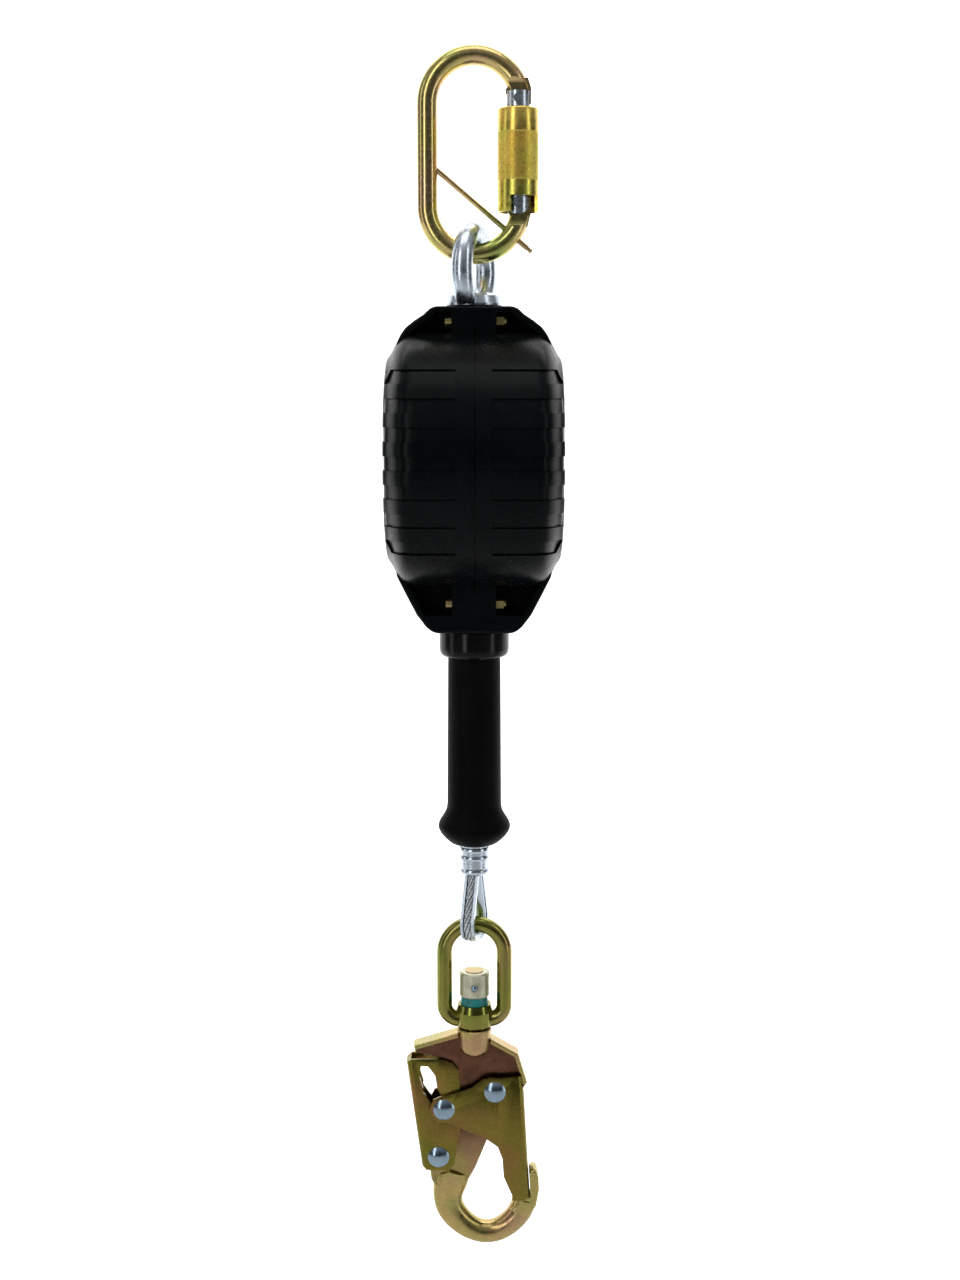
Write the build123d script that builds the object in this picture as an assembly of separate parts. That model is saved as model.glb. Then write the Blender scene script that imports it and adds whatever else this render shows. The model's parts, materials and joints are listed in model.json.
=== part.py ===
from build123d import *
import math
import os

# Self-retracting lifeline, millimetres, +Z up.  The origin is the inner top of the
# anchor carabiner's bow and everything hangs below it.  X is the drum's axis and
# the front faces -Y.

# ---- shared clearances -------------------------------------------------------------
RUN = 0.05          # radial clearance of a running pin, shaft or swivel
SIDE = 0.35         # side gap between a moving cheek and the plate inside it
SEAT = 0.3          # gap between faces that slide or roll on each other
SLIP = 0.15         # axial gap under a rivet head or a swivel flange

# ---- anchor carabiner --------------------------------------------------------------
ROD_D = 10.4        # bar of the oval body
BOW_R = 24.1        # centreline radius of both bows
SIDE_LEN = 51.3     # straight side between the bows
GATE_X = 22.6       # gate axis
GATE_LEN = 51.6     # hinge to latch pin
LATCH_DROP = 16.8   # latch pin below the origin
GATE_R = 6.3
TONGUE_T = 4.5      # thickness of the body's tongues between the gate's cheeks
PIN_R = 1.8
PIN_HEAD_R = 2.4
LATCH_NOTCH = PIN_R + 0.6      # half height of the latch notch
SLEEVE_R = 10.55
SLEEVE_LEN = 52.0
SKIRT_WALL = 1.55
NOTCH_H = 8.0
WIRE_R = 1.4        # captive wire across the lower bow

# ---- swivel eye --------------------------------------------------------------------
EYE_BAR_R = 5.5
EYE_RING_R = 19.5   # centreline radius of the ring
EYE_YAW = -18.0     # how far the ring is turned about Z at rest
FLANGE_R = 14.5
SHANK_R = 6.0

# ---- housing -----------------------------------------------------------------------
CASE_R = 68.0       # drum case outside radius
CASE_HALF = 46.0    # half the case's thickness along X
WALL = 3.0
NECK_HALF = 11.5    # solid neck between the pockets
BLOCK_HALF_Y = 22.0 # half depth of the top and bottom blocks
BLOCK_CORNER_R = 8.0
BLOCK_EDGE_R = 1.5
POCKET_WEB = 6.0    # half thickness of the web between front and back pockets
HOOD_T = 2.5
BAND_HALF = 9.0     # plain band beside the parting line
BAR_PITCH = 14.25   # one raised bar and one recess
BAR_COUNT = 6
BAR_DEPTH = 0.8
BEAD_H = 0.4
BOLT_R = 2.5
BOLT_Y = 13.0

# ---- frame, drum and shaft ---------------------------------------------------------
PLATE_IN = 20.5     # inner face of each side plate
PLATE_T = 3.0
SHAFT_R = 7.0
DRUM_CORE_R = 28.0
FLANGE_OUT_R = 50.0
PACK_HALF = 16.8
DRUM_FLANGE_T = 2.2
ROPE_R = 2.4
LEAD_R = 43.0       # radius at which the line leaves the winding

# ---- spring and brake --------------------------------------------------------------
CASE_SPRING_R = 46.0
SPRING_W = 10.5
SPRING_PITCH = 2.9
SPRING_T = 0.8
SPRING_TURNS = 10
TEETH = 12
TOOTH_TIP_R = 30.0
TOOTH_ROOT_R = 34.0
RING_R = 46.5
STUD_CIRCLE_R = 52.0
STUD_COUNT = 6
PAWL_PIVOT_R = 21.0
PAWL_T = 4.6

# ---- line end ----------------------------------------------------------------------
COLLAR_R = 18.7
COLLAR_LEN = 14.4
GRIP_R = 14.05
GRIP_FLARE_R = 19.5
GRIP_LEN = 107.1
FERRULE_R = 8.2
THIMBLE_IN_R = 6.7
THIMBLE_WALL = 1.0
THIMBLE_HALF = 3.9  # half the thimble's width
END_YAW = -20.0     # how far the thimble's plane is turned about Z at rest

# ---- swivel and snap hook ----------------------------------------------------------
BAIL_BAR_R = 4.25
BAIL_BOW_R = 16.45
BAIL_LEN = 63.2
HUB_R = 9.7
STEM_R = 5.0        # hook shank through the bail's hub
NUT_R = 8.3
NUT_LEN = 14.0
HOOK_T = 4.0        # half thickness of the forged plate
BOW_T = 6.4         # half thickness of the hook's bow across Y
SHEET = 1.6
RIVET_R = 3.0
HEAD_R = 5.9
HEAD_H = 2.0

# ---- derived places ----------------------------------------------------------------
ROD_R = ROD_D / 2
TOP_C = ROD_R - BOW_R                       # centre of the top bow
LOW_C = TOP_C - SIDE_LEN                    # centre of the bottom bow
BOW_Z = LOW_C - BOW_R                       # bottom bar centre
LATCH_Z = -LATCH_DROP
HINGE_Z = LATCH_Z - GATE_LEN
GATE_TOP = LATCH_Z + 3.9
GATE_END_R = 6.0                            # rounded gate foot about the hinge
CUT_TOP = GATE_TOP + 0.6                    # body's upper cut face
CUT_LOW = HINGE_Z - GATE_END_R - SEAT       # body's lower cut face
SLEEVE_TOP = LATCH_Z - 4.4
SLEEVE_LOW = SLEEVE_TOP - SLEEVE_LEN
CHEEK_IN = TONGUE_T / 2 + SIDE

RING_Z = BOW_Z + ROD_R + SEAT + EYE_BAR_R - EYE_RING_R + 0.05
EYE_BASE = RING_Z - EYE_RING_R + 0.85       # underside of the eye's flange
CASE_TOP = EYE_BASE - SEAT
CASE_Z = CASE_TOP - 10.8 - CASE_R           # drum axis height
CASE_LOW = CASE_Z - CASE_R - 21.7

BRIDGE_TOP = CASE_Z + 63.0
BRIDGE_T = 6.0
BRIDGE_LOW = BRIDGE_TOP - BRIDGE_T
BRIDGE_HALF_Y = 12.0
PLATE_OUT = PLATE_IN + PLATE_T
DRUM_HALF = PACK_HALF + DRUM_FLANGE_T

GUIDE_TOP = CASE_LOW + 22.0
GUIDE_LOW = CASE_LOW - 10.3
BEND_Z = GUIDE_TOP - 9.0                    # where the leaving line meets the vertical
COLLAR_TOP = CASE_LOW - 0.2
COLLAR_LOW = COLLAR_TOP - COLLAR_LEN
GRIP_TOP = COLLAR_LOW + 3.7
GRIP_LOW = GRIP_TOP - GRIP_LEN
FERRULE_TOP = GRIP_LOW + 8.0
FERRULE_LOW = GRIP_LOW - 17.4
BAIL_TOP = FERRULE_LOW - 24.4
BAIL_BAR_Z = BAIL_TOP - BAIL_BAR_R
THIMBLE_Z = BAIL_BAR_Z - BAIL_BAR_R - SEAT - 0.05 + THIMBLE_IN_R
LOOP_R = THIMBLE_IN_R + THIMBLE_WALL + ROPE_R
BAIL_LOW = BAIL_TOP - BAIL_LEN
HUB_TOP = BAIL_LOW + 13.6
NUT_TOP = HUB_TOP + 18.4
NUT_LOW = NUT_TOP - NUT_LEN
BOSS_TOP = BAIL_LOW - 0.4

# Snap hook points in the XZ plane, measured from the boss's top on the swivel axis.
def hook_point(x, drop):
    return (x, BOSS_TOP - drop)


GATE_PIVOT = hook_point(11.4, 34.9)
LINK_PIVOT = hook_point(-16.9, 45.1)
LEVER_PIVOT = hook_point(-20.0, 73.8)
HOOK_OPEN_DEG = 20.0
LEVER_RATIO = 0.45
TIP_R = 65.4        # gate tip radius about its pivot
LEVER_REACH = 10.4  # farthest foot corner of the lever from its pivot
LEVER_IN = HOOK_T + 0.5
LEVER_OUT = LEVER_IN + SHEET
GATE_IN = LEVER_OUT + 0.4
GATE_OUT = GATE_IN + SHEET


# ---- helpers -----------------------------------------------------------------------
def cylinder_z(x, y, low, high, radius):
    return Pos(x, y, (low + high) / 2) * Cylinder(radius, high - low)


def cylinder_x(y, z, left, right, radius):
    return Pos((left + right) / 2, y, z) * Rot(0, 90, 0) * Cylinder(radius, right - left)


def cylinder_y(x, z, front, back, radius):
    return Pos(x, (front + back) / 2, z) * Rot(90, 0, 0) * Cylinder(radius, back - front)


def block(x0, x1, y0, y1, z0, z1):
    return Pos((x0 + x1) / 2, (y0 + y1) / 2, (z0 + z1) / 2) * Box(x1 - x0, y1 - y0, z1 - z0)


def rod(start, end, radius):
    line = Vector(*end) - Vector(*start)
    centre = (Vector(*end) + Vector(*start)) / 2
    return Plane(origin=centre, z_dir=line) * Cylinder(radius, line.length)


def plate_xz(points, front, back):
    """A plate cut from an outline of (x, z) points, between two Y values."""
    face = make_face(Polyline(*[(x, z) for x, z in points], close=True))
    solid = extrude(Plane(origin=(0, back, 0), x_dir=(1, 0, 0), z_dir=(0, -1, 0)) * face, back - front)
    return solid


def plate_yz(points, left, right):
    """A plate cut from an outline of (y, z) points, between two X values."""
    face = make_face(Polyline(*[(y, z) for y, z in points], close=True))
    return extrude(Plane(origin=(left, 0, 0), x_dir=(0, 1, 0), z_dir=(1, 0, 0)) * face, right - left)


def turned_z(points, x=0.0, y=0.0):
    """A solid turned about a vertical axis from (radius, z) points."""
    face = make_face(Polyline(*[(r, 0, z) for r, z in points], close=True))
    return Pos(x, y, 0) * revolve(face, Axis.Z)


def turned_x(points):
    """A solid turned about the drum axis from (x, radius) points."""
    face = make_face(Polyline(*[(x, 0, r) for x, r in points], close=True))
    return Pos(0, 0, CASE_Z) * revolve(face, Axis.X)


def ring_x(left, right, inner, outer):
    return turned_x([(left, inner), (right, inner), (right, outer), (left, outer)])


def coil(radius, wire, pitch, length, direction=(0, 0, 1)):
    """A helical spring on its own axis, starting at the origin."""
    path = Helix(pitch=pitch, height=length, radius=radius, direction=direction)
    section = Plane(origin=path @ 0, z_dir=path % 0) * Circle(wire)
    return sweep(section, path, is_frenet=True)


def polar(radius, degrees):
    """(y, z) on a circle about the drum axis; 90 degrees is straight up."""
    angle = math.radians(degrees)
    return (radius * math.cos(angle), CASE_Z + radius * math.sin(angle))


# ---- anchor carabiner --------------------------------------------------------------
def end_flats(face_z, up):
    """Milled flats above the cheeks, with the cutter's round run-out."""
    cutter_r = 5.0
    flat_y = TONGUE_T / 2 + 1.3
    run = 2.4 * up
    cuts = None
    for side in (-1, 1):
        y = side * (flat_y + cutter_r)
        round_cut = cylinder_x(y, face_z + run, GATE_X - 12, GATE_X + 12, cutter_r)
        low = min(face_z - 8 * up, face_z + run)
        high = max(face_z - 8 * up, face_z + run)
        flat_cut = block(GATE_X - 12, GATE_X + 12, min(side * flat_y, y), max(side * flat_y, y), low, high)
        cuts = round_cut + flat_cut if cuts is None else cuts + round_cut + flat_cut
    return cuts


def captive_line():
    """Start and end of the captive wire: in the spine and outside the lower bow."""
    slope = math.radians(-40.1)
    start = (-BOW_R + 3.0, 0, LATCH_Z - 33.5)
    length = 64.0
    end = (start[0] + length * math.cos(slope), 0, start[2] + length * math.sin(slope))
    return start, end


def carabiner_body():
    ring = Rot(90, 0, 0) * Torus(BOW_R, ROD_R)
    half_space = block(-60, 60, -20, 20, 0, 60)
    top = Pos(0, 0, TOP_C) * (ring & half_space)
    low = Pos(0, 0, LOW_C) * (ring - half_space)
    spine = cylinder_z(-BOW_R, 0, LOW_C, TOP_C, ROD_R)
    body = top + low + spine
    body -= block(GATE_X - 14, GATE_X + 12, -10, 10, CUT_LOW, CUT_TOP)
    body -= end_flats(CUT_TOP, 1)
    body -= end_flats(CUT_LOW, -1)
    half = TONGUE_T / 2
    left = GATE_X - GATE_R - 0.1
    right = GATE_X + GATE_R + 0.3
    tip = LATCH_Z - LATCH_NOTCH - 0.85
    upper = plate_xz([(left, CUT_TOP + 0.2), (left, tip + 1), (left + 1, tip), (right - 1, tip),
                      (right, tip + 1), (right, CUT_TOP + 1), (GATE_X + 5, CUT_TOP + 6),
                      (GATE_X - 2, CUT_TOP + 6)], -half, half)
    upper -= block(left - 1, GATE_X, -10, 10, LATCH_Z - LATCH_NOTCH, LATCH_Z + LATCH_NOTCH)
    upper -= cylinder_y(GATE_X, LATCH_Z, -10, 10, LATCH_NOTCH)
    head = HINGE_Z + 5.6
    lower = plate_xz([(left, HINGE_Z - 2.6), (left, head - 2.6), (left + 3.6, head), (right - 2, head),
                      (right, head - 2), (right, CUT_LOW + 0.5), (GATE_X + 5, CUT_LOW - 6),
                      (GATE_X - 5, CUT_LOW - 6), (GATE_X - 3.6, CUT_LOW - 1)], -half, half)
    lower -= cylinder_y(GATE_X, HINGE_Z, -10, 10, PIN_R)
    body = body + upper + lower
    start, end = captive_line()
    body -= rod(start, end, WIRE_R)
    return body


def captive_pin():
    start, end = captive_line()
    wire = rod(start, end, WIRE_R)
    splay = 13.0
    tail = None
    for turn in (-splay, splay):
        angle = math.radians(-40.1 + turn)
        tip = (end[0] + 2.6 * math.cos(angle), 0, end[2] + 2.6 * math.sin(angle))
        prong = rod((end[0] - 0.8, 0, end[2] + 0.7), tip, 0.75)
        tail = prong if tail is None else tail + prong
    return wire + tail


def carabiner_gate():
    gate = cylinder_z(GATE_X, 0, HINGE_Z - GATE_END_R - 1, GATE_TOP, GATE_R)
    foot = block(GATE_X - 8, GATE_X + 8, -8, 8, HINGE_Z, GATE_TOP + 1)
    foot += cylinder_y(GATE_X, HINGE_Z, -8, 8, GATE_END_R)
    gate &= foot
    gate -= block(GATE_X - 8, GATE_X + 8, -CHEEK_IN, CHEEK_IN, LATCH_Z - 4.5, GATE_TOP + 1)
    gate -= block(GATE_X - 8, GATE_X + 8, -CHEEK_IN, CHEEK_IN, HINGE_Z - 9, HINGE_Z + 6.6)
    gate -= cylinder_y(GATE_X, LATCH_Z, -8, 8, PIN_R)
    gate -= cylinder_y(GATE_X, HINGE_Z, -8, 8, PIN_R + RUN)
    for side in (-1, 1):
        seat = side * (GATE_R - 0.7)
        gate -= cylinder_y(GATE_X, LATCH_Z, min(seat, side * 9), max(seat, side * 9), PIN_HEAD_R)
        seat = side * (GATE_R - 0.9)
        gate -= cylinder_y(GATE_X, HINGE_Z, min(seat, side * 9), max(seat, side * 9), PIN_HEAD_R + SEAT)
    gate -= cylinder_z(GATE_X - 2.6, 0, HINGE_Z + 6, HINGE_Z + 26, 1.8)
    return gate


def cross_pin(z, head_seat):
    pin = cylinder_y(GATE_X, z, -head_seat, head_seat, PIN_R)
    for side in (-1, 1):
        base = side * head_seat
        tip = side * (head_seat + 0.9)
        pin += cylinder_y(GATE_X, z, min(base, tip), max(base, tip), PIN_HEAD_R)
    return pin


def gate_latch_pin():
    return cross_pin(LATCH_Z, GATE_R - 0.7)


def gate_hinge_rivet():
    return cross_pin(HINGE_Z, GATE_R - 0.7)


def gate_spring():
    start = HINGE_Z + 6.4
    return Pos(GATE_X - 2.6, 0, start) * coil(1.15, 0.3, 1.4, 18.6)


def lock_sleeve():
    bore = GATE_R + RUN
    skirt = SLEEVE_R - SKIRT_WALL
    cavity_top = SLEEVE_TOP - 6.0
    cavity_low = HINGE_Z + 10.5
    edge = 1.2
    knurl_top = SLEEVE_TOP - 11.9
    knurl_low = knurl_top - 24.3
    proud = 0.12
    points = [(bore, SLEEVE_TOP), (SLEEVE_R - edge, SLEEVE_TOP), (SLEEVE_R, SLEEVE_TOP - edge),
              (SLEEVE_R, knurl_top), (SLEEVE_R + proud, knurl_top - 0.3),
              (SLEEVE_R + proud, knurl_low + 0.3), (SLEEVE_R, knurl_low),
              (SLEEVE_R, SLEEVE_LOW + edge), (SLEEVE_R - edge * 0.6, SLEEVE_LOW), (skirt, SLEEVE_LOW),
              (skirt, HINGE_Z + 7.4), (bore, HINGE_Z + 7.4), (bore, cavity_low),
              (GATE_R + 2.2, cavity_low), (GATE_R + 2.2, cavity_top), (bore, cavity_top)]
    sleeve = turned_z(points, GATE_X)
    wedge = []
    for degrees in (-112, -90, -65, -40, -15):
        angle = math.radians(degrees)
        wedge.append((GATE_X + 20 * math.cos(angle), 20 * math.sin(angle)))
    face = make_face(Polyline((GATE_X, 0), *wedge, close=True))
    return sleeve - extrude(Pos(0, 0, SLEEVE_LOW - 1) * face, NOTCH_H + 1)


def sleeve_spring():
    start = HINGE_Z + 11.5
    return Pos(GATE_X, 0, start) * coil(GATE_R + 1.1, 0.55, 4.6, SLEEVE_TOP - 8.0 - start)


# ---- swivel eye --------------------------------------------------------------------
def anchor_eye():
    ring = Pos(0, 0, RING_Z) * Rot(0, 0, EYE_YAW) * Rot(0, 90, 0) * Torus(EYE_RING_R, EYE_BAR_R)
    ring -= block(-40, 40, -40, 40, EYE_BASE - 20, EYE_BASE + 1)
    flange = turned_z([(0, EYE_BASE), (FLANGE_R - 0.8, EYE_BASE), (FLANGE_R, EYE_BASE + 0.8),
                       (FLANGE_R, EYE_BASE + 1.8), (FLANGE_R - 1.3, EYE_BASE + 5.8),
                       (FLANGE_R - 2.6, EYE_BASE + 7.0), (0, EYE_BASE + 7.0)])
    shank = cylinder_z(0, 0, BRIDGE_LOW - 9.4, EYE_BASE + 1, SHANK_R)
    eye = ring + flange + shank
    return eye - cylinder_x(0, eye_pin_z(), -20, 20, 1.25)


def eye_pin_z():
    return BRIDGE_LOW - 5.0


def eye_nut():
    top = BRIDGE_LOW - SLIP
    across = 18.0
    height = 7.0
    nut = Pos(0, 0, top - height) * extrude(RegularPolygon(across / 2, 6, major_radius=False), height)
    nut -= cylinder_z(0, 0, top - 9, top + 1, SHANK_R)
    return nut - cylinder_x(0, eye_pin_z(), -20, 20, 1.25)


def eye_roll_pin():
    return cylinder_x(0, eye_pin_z(), -9.0, 9.0, 1.25)


def eye_bush():
    """Flanged bush in the neck that the eye's shank swivels in."""
    inner = SHANK_R + RUN
    outer = SHANK_R + 2.0
    return turned_z([(inner, CASE_TOP), (outer + 2.5, CASE_TOP), (outer + 2.5, CASE_TOP - 1.2),
                     (outer, CASE_TOP - 1.2), (outer, BRIDGE_TOP), (inner, BRIDGE_TOP)])


# ---- housing -----------------------------------------------------------------------
def case_drum(inset):
    """Drum case turned about X: flat rim, big shoulders, nearly flat side faces."""
    radius = CASE_R - inset
    half = CASE_HALF - inset
    rim = half - 21.0
    shoulder = Spline([(rim, 0, radius), (half - 8.4, 0, radius - 3.0), (half - 3.0, 0, radius - 12.0),
                       (half, 0, radius - 36.0)], tangents=[(1, 0, 0), (0, 0, -1)])
    lines = [Line((0, 0, 0), (0, 0, radius)), Line((0, 0, radius), (rim, 0, radius)), shoulder,
             Line((half, 0, radius - 36.0), (half, 0, 0)), Line((half, 0, 0), (0, 0, 0))]
    quarter = make_face(Wire(lines))
    right = revolve(quarter, Axis.X)
    return Pos(0, 0, CASE_Z) * (right + mirror(right, Plane.YZ))


def top_outline(inset):
    half = [(21.5, 0.0), (25.5, -4.0), (30.4, -7.2), (34.8, -10.6), (37.6, -14.4), (39.6, -18.5)]
    right = [(x - inset, CASE_TOP + z - inset) for x, z in half]
    return right + [(right[-1][0], CASE_Z + 40), (-right[-1][0], CASE_Z + 40)] + [(-x, z) for x, z in right[::-1]]


def low_outline(inset):
    half = [(21.0, 0.0), (25.0, 3.2), (30.0, 9.8), (35.0, 19.4), (40.6, 30.6)]
    right = [(x - inset, CASE_LOW + z + inset) for x, z in half]
    return right + [(right[-1][0], CASE_Z - 40), (-right[-1][0], CASE_Z - 40)] + [(-x, z) for x, z in right[::-1]]


def pocket(outline, near, far):
    """Recess between neck, hood and drum, open to the front or back."""
    depth = 30.0
    cut = None
    for side in (-1, 1):
        front = min(side * POCKET_WEB, side * depth)
        back = max(side * POCKET_WEB, side * depth)
        room = plate_xz(outline, front, back)
        room &= block(-60, 60, -40, 40, near, far)
        room -= block(-NECK_HALF, NECK_HALF, -40, 40, near - 1, far + 1)
        cut = room if cut is None else cut + room
    return cut - case_drum(0)


def bar_recesses():
    """Shallow bands between the raised grip bars, front and back, round the shoulders."""
    bands = None
    first = CASE_Z + BAR_PITCH * (BAR_COUNT / 2)
    for index in range(BAR_COUNT + 1):
        top = first - index * BAR_PITCH + BAR_PITCH / 4 + 0.3
        low = top - BAR_PITCH / 2
        for side in (-1, 1):
            band = block(min(side * BAND_HALF, side * 60), max(side * BAND_HALF, side * 60), -80, 80, low, top)
            bands = band if bands is None else bands + band
    bands -= block(-60, 60, -34, 34, CASE_Z - 90, CASE_Z + 90)
    return bands & (case_drum(-2.0) - case_drum(BAR_DEPTH))


def bolt_heights():
    return (CASE_TOP - 7.3, CASE_LOW + 14.7)


def rounded_block(outline):
    """Block above or below the drum case, with soft corners and edges."""
    solid = plate_xz(outline, -BLOCK_HALF_Y, BLOCK_HALF_Y)
    solid = fillet(solid.edges().filter_by(Axis.Y), BLOCK_CORNER_R)
    solid = fillet(solid.edges().group_by(Axis.Y)[0], BLOCK_EDGE_R)
    return fillet(solid.edges().group_by(Axis.Y)[-1], BLOCK_EDGE_R)


def housing_solid():
    case = case_drum(0) + rounded_block(top_outline(0)) + rounded_block(low_outline(0))
    case -= pocket(top_outline(HOOD_T), CASE_Z + 55, CASE_TOP - 2.9)
    case -= pocket(low_outline(HOOD_T), CASE_LOW + 9.5, CASE_Z - 55)
    case -= bar_recesses()
    case += ring_x(-1.1, 0, CASE_R - 1, CASE_R + BEAD_H) - block(-9, 9, -19, 19, CASE_Z - 90, CASE_Z + 90)
    case -= ring_x(0, 0.8, CASE_R - 0.7, CASE_R + 3) - block(-9, 9, -21, 21, CASE_Z - 90, CASE_Z + 90)
    case -= case_drum(WALL)
    case -= cylinder_z(0, 0, CASE_Z + 50, CASE_TOP + 1, SHANK_R + 2.0)
    case -= cylinder_z(0, 0, CASE_TOP - 1.2, CASE_TOP + 1, SHANK_R + 4.5)
    case -= cylinder_z(0, 0, CASE_LOW - 1, CASE_Z - 50, 8.5)
    case -= cylinder_z(0, 0, CASE_LOW - 1, CASE_LOW + 6.0, 12.0)
    case -= lead_solid(ROPE_R + 1.0, CASE_LOW)
    for z in bolt_heights():
        for y in (-BOLT_Y, BOLT_Y):
            case -= cylinder_x(y, z, -30, 30, BOLT_R)
    return case


def case_bolts(head):
    parts = []
    for z in bolt_heights():
        for y in (-BOLT_Y, BOLT_Y):
            if head:
                bolt = cylinder_x(y, z, -NECK_HALF, NECK_HALF + 5.2, BOLT_R)
                bolt += cylinder_x(y, z, -NECK_HALF - 3.4, -NECK_HALF, 3.8)
                socket = extrude(RegularPolygon(1.9, 6), 2.0)
                bolt -= Pos(-NECK_HALF - 3.5, y, z) * Rot(0, 90, 0) * socket
            else:
                hexagon = extrude(RegularPolygon(3.4, 6, major_radius=False), 4.0)
                bolt = Pos(NECK_HALF, y, z) * Rot(0, 90, 0) * hexagon
                bolt -= cylinder_x(y, z, 0, 30, BOLT_R)
            parts.append(bolt)
    return Compound(children=[part.solid() for part in parts])


def nozzle_collar():
    edge = 4.0
    rim = GRIP_R + 0.65
    points = [(8.5, COLLAR_TOP + 6.0), (12.0, COLLAR_TOP + 6.0), (12.0, COLLAR_TOP),
              (COLLAR_R - 0.6, COLLAR_TOP), (COLLAR_R, COLLAR_TOP - 0.6)]
    for step in range(5):
        angle = math.radians(90 * step / 4)
        points.append((COLLAR_R - edge * 0.6 * (1 - math.cos(angle)), COLLAR_LOW + edge * (1 - math.sin(angle))))
    points += [(rim, COLLAR_LOW), (rim, COLLAR_LOW + 4.2), (8.5, COLLAR_LOW + 4.2)]
    return turned_z(points)


# ---- line path ---------------------------------------------------------------------
def lead_tangent():
    """Where the outer layer leaves the winding on the front, as (y, z)."""
    drop = CASE_Z - BEND_Z
    length = math.sqrt(drop ** 2 - LEAD_R ** 2)
    lean = math.asin(LEAD_R / drop)
    return (-length * math.sin(lean), BEND_Z + length * math.cos(lean))


def lead_solid(radius, low):
    y, z = lead_tangent()
    path = FilletPolyline((0, y, z), (0, 0, BEND_Z), (0, 0, low), radius=28.0)
    section = Plane(origin=path @ 0, z_dir=path % 0) * Circle(radius)
    return sweep(section, path)


def cable_lead():
    return lead_solid(ROPE_R, GRIP_TOP + 0.3)


def cable_guide():
    guide = turned_z([(0, GUIDE_LOW), (8.5, GUIDE_LOW), (8.5, GUIDE_TOP - 3), (6.0, GUIDE_TOP), (0, GUIDE_TOP)])
    return guide - lead_solid(ROPE_R + 0.3, GUIDE_LOW - 5)


# ---- frame -------------------------------------------------------------------------
def spacer_places():
    return ((24.0, -51.7), (-40.0, -40.6))


def frame_plate(side):
    outline = [(-BRIDGE_HALF_Y, 63.0), (BRIDGE_HALF_Y, 63.0), (18.0, 40.0), (32.0, 15.0), (36.0, -20.0),
               (33.0, -52.0), (14.0, -60.0), (-14.0, -58.0), (-45.0, -44.0), (-50.0, -34.0),
               (-36.0, -5.0), (-30.0, 15.0), (-18.0, 40.0)]
    left = min(side * PLATE_IN, side * PLATE_OUT)
    right = max(side * PLATE_IN, side * PLATE_OUT)
    plate = plate_yz([(y, CASE_Z + z) for y, z in outline], left, right)
    plate -= cylinder_x(0, CASE_Z, -60, 60, SHAFT_R + 2.5)
    for y, z in spacer_places():
        plate -= cylinder_x(y, CASE_Z + z, -60, 60, 2.5)
    for y in (-6.5, 6.5):
        plate -= cylinder_x(y, BRIDGE_TOP - 3.0, -60, 60, 1.6)
    return plate


def frame_plates():
    return Compound(children=[frame_plate(-1).solid(), frame_plate(1).solid()])


def frame_bridge():
    bridge = block(-PLATE_IN, PLATE_IN, -BRIDGE_HALF_Y, BRIDGE_HALF_Y, BRIDGE_LOW, BRIDGE_TOP)
    bridge -= cylinder_z(0, 0, BRIDGE_LOW - 1, BRIDGE_TOP + 1, SHANK_R + 0.3)
    for side in (-1, 1):
        for y in (-6.5, 6.5):
            inner = side * (PLATE_IN - 9)
            bridge -= cylinder_x(y, BRIDGE_TOP - 3.0, min(inner, side * 60), max(inner, side * 60), 1.6)
    return bridge


def frame_screws():
    screws = []
    for side in (-1, 1):
        for y in (-6.5, 6.5):
            z = BRIDGE_TOP - 3.0
            inner = side * (PLATE_IN - 9)
            face = side * PLATE_OUT
            tip = side * (PLATE_OUT + 2.2)
            screw = cylinder_x(y, z, min(inner, face), max(inner, face), 1.6)
            screw += cylinder_x(y, z, min(face, tip), max(face, tip), 2.9)
            screws.append(screw.solid())
    return Compound(children=screws)


def frame_spacers():
    spacers = []
    for y, z in spacer_places():
        spacer = cylinder_x(y, CASE_Z + z, -PLATE_IN, PLATE_IN, 4.4)
        spacer += cylinder_x(y, CASE_Z + z, -PLATE_OUT - 1.2, PLATE_OUT + 1.2, 2.5)
        spacers.append(spacer.solid())
    return Compound(children=spacers)


def shaft_bushes():
    bushes = []
    inner = SHAFT_R + RUN
    outer = SHAFT_R + 2.5
    for side in (-1, 1):
        near = PLATE_IN - 0.9
        points = [(near, inner), (near, outer + 2), (PLATE_IN, outer + 2), (PLATE_IN, outer),
                  (PLATE_OUT, outer), (PLATE_OUT, inner)]
        bushes.append(turned_x([(side * x, r) for x, r in points]).solid())
    return Compound(children=bushes)


# ---- drum --------------------------------------------------------------------------
def main_shaft():
    shaft = cylinder_x(0, CASE_Z, -40.5, 40.5, SHAFT_R)
    for x in (-39.3, 38.2):
        shaft -= ring_x(x, x + 1.1, SHAFT_R - 1.0, SHAFT_R + 1)
    return shaft


def shaft_clips():
    clips = []
    for x in (-39.3, 38.2):
        clips.append(ring_x(x, x + 1.1, SHAFT_R - 1.0, SHAFT_R + 3.0).solid())
    return Compound(children=clips)


def drum():
    web = 2.0
    hub = SHAFT_R + 4.0
    rim = DRUM_CORE_R - 2.5
    half = DRUM_HALF
    points = [(-half, SHAFT_R), (half, SHAFT_R), (half, hub), (web, hub), (web, rim), (PACK_HALF, rim),
              (half, rim), (half, FLANGE_OUT_R), (PACK_HALF, FLANGE_OUT_R), (PACK_HALF, DRUM_CORE_R),
              (-PACK_HALF, DRUM_CORE_R), (-PACK_HALF, FLANGE_OUT_R), (-half, FLANGE_OUT_R), (-half, rim),
              (-web, rim), (-web, hub), (-half, hub)]
    wheel = turned_x(points)
    for index in range(5):
        y, z = polar(18.0, 90 + 36 + 72 * index)
        wheel -= cylinder_x(y, z, -3, 3, 4.0)
    y, z = polar(DRUM_CORE_R + 3.0, 200)
    return wheel - cylinder_x(y, z, PACK_HALF - 1, half + 1, ROPE_R)


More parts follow.
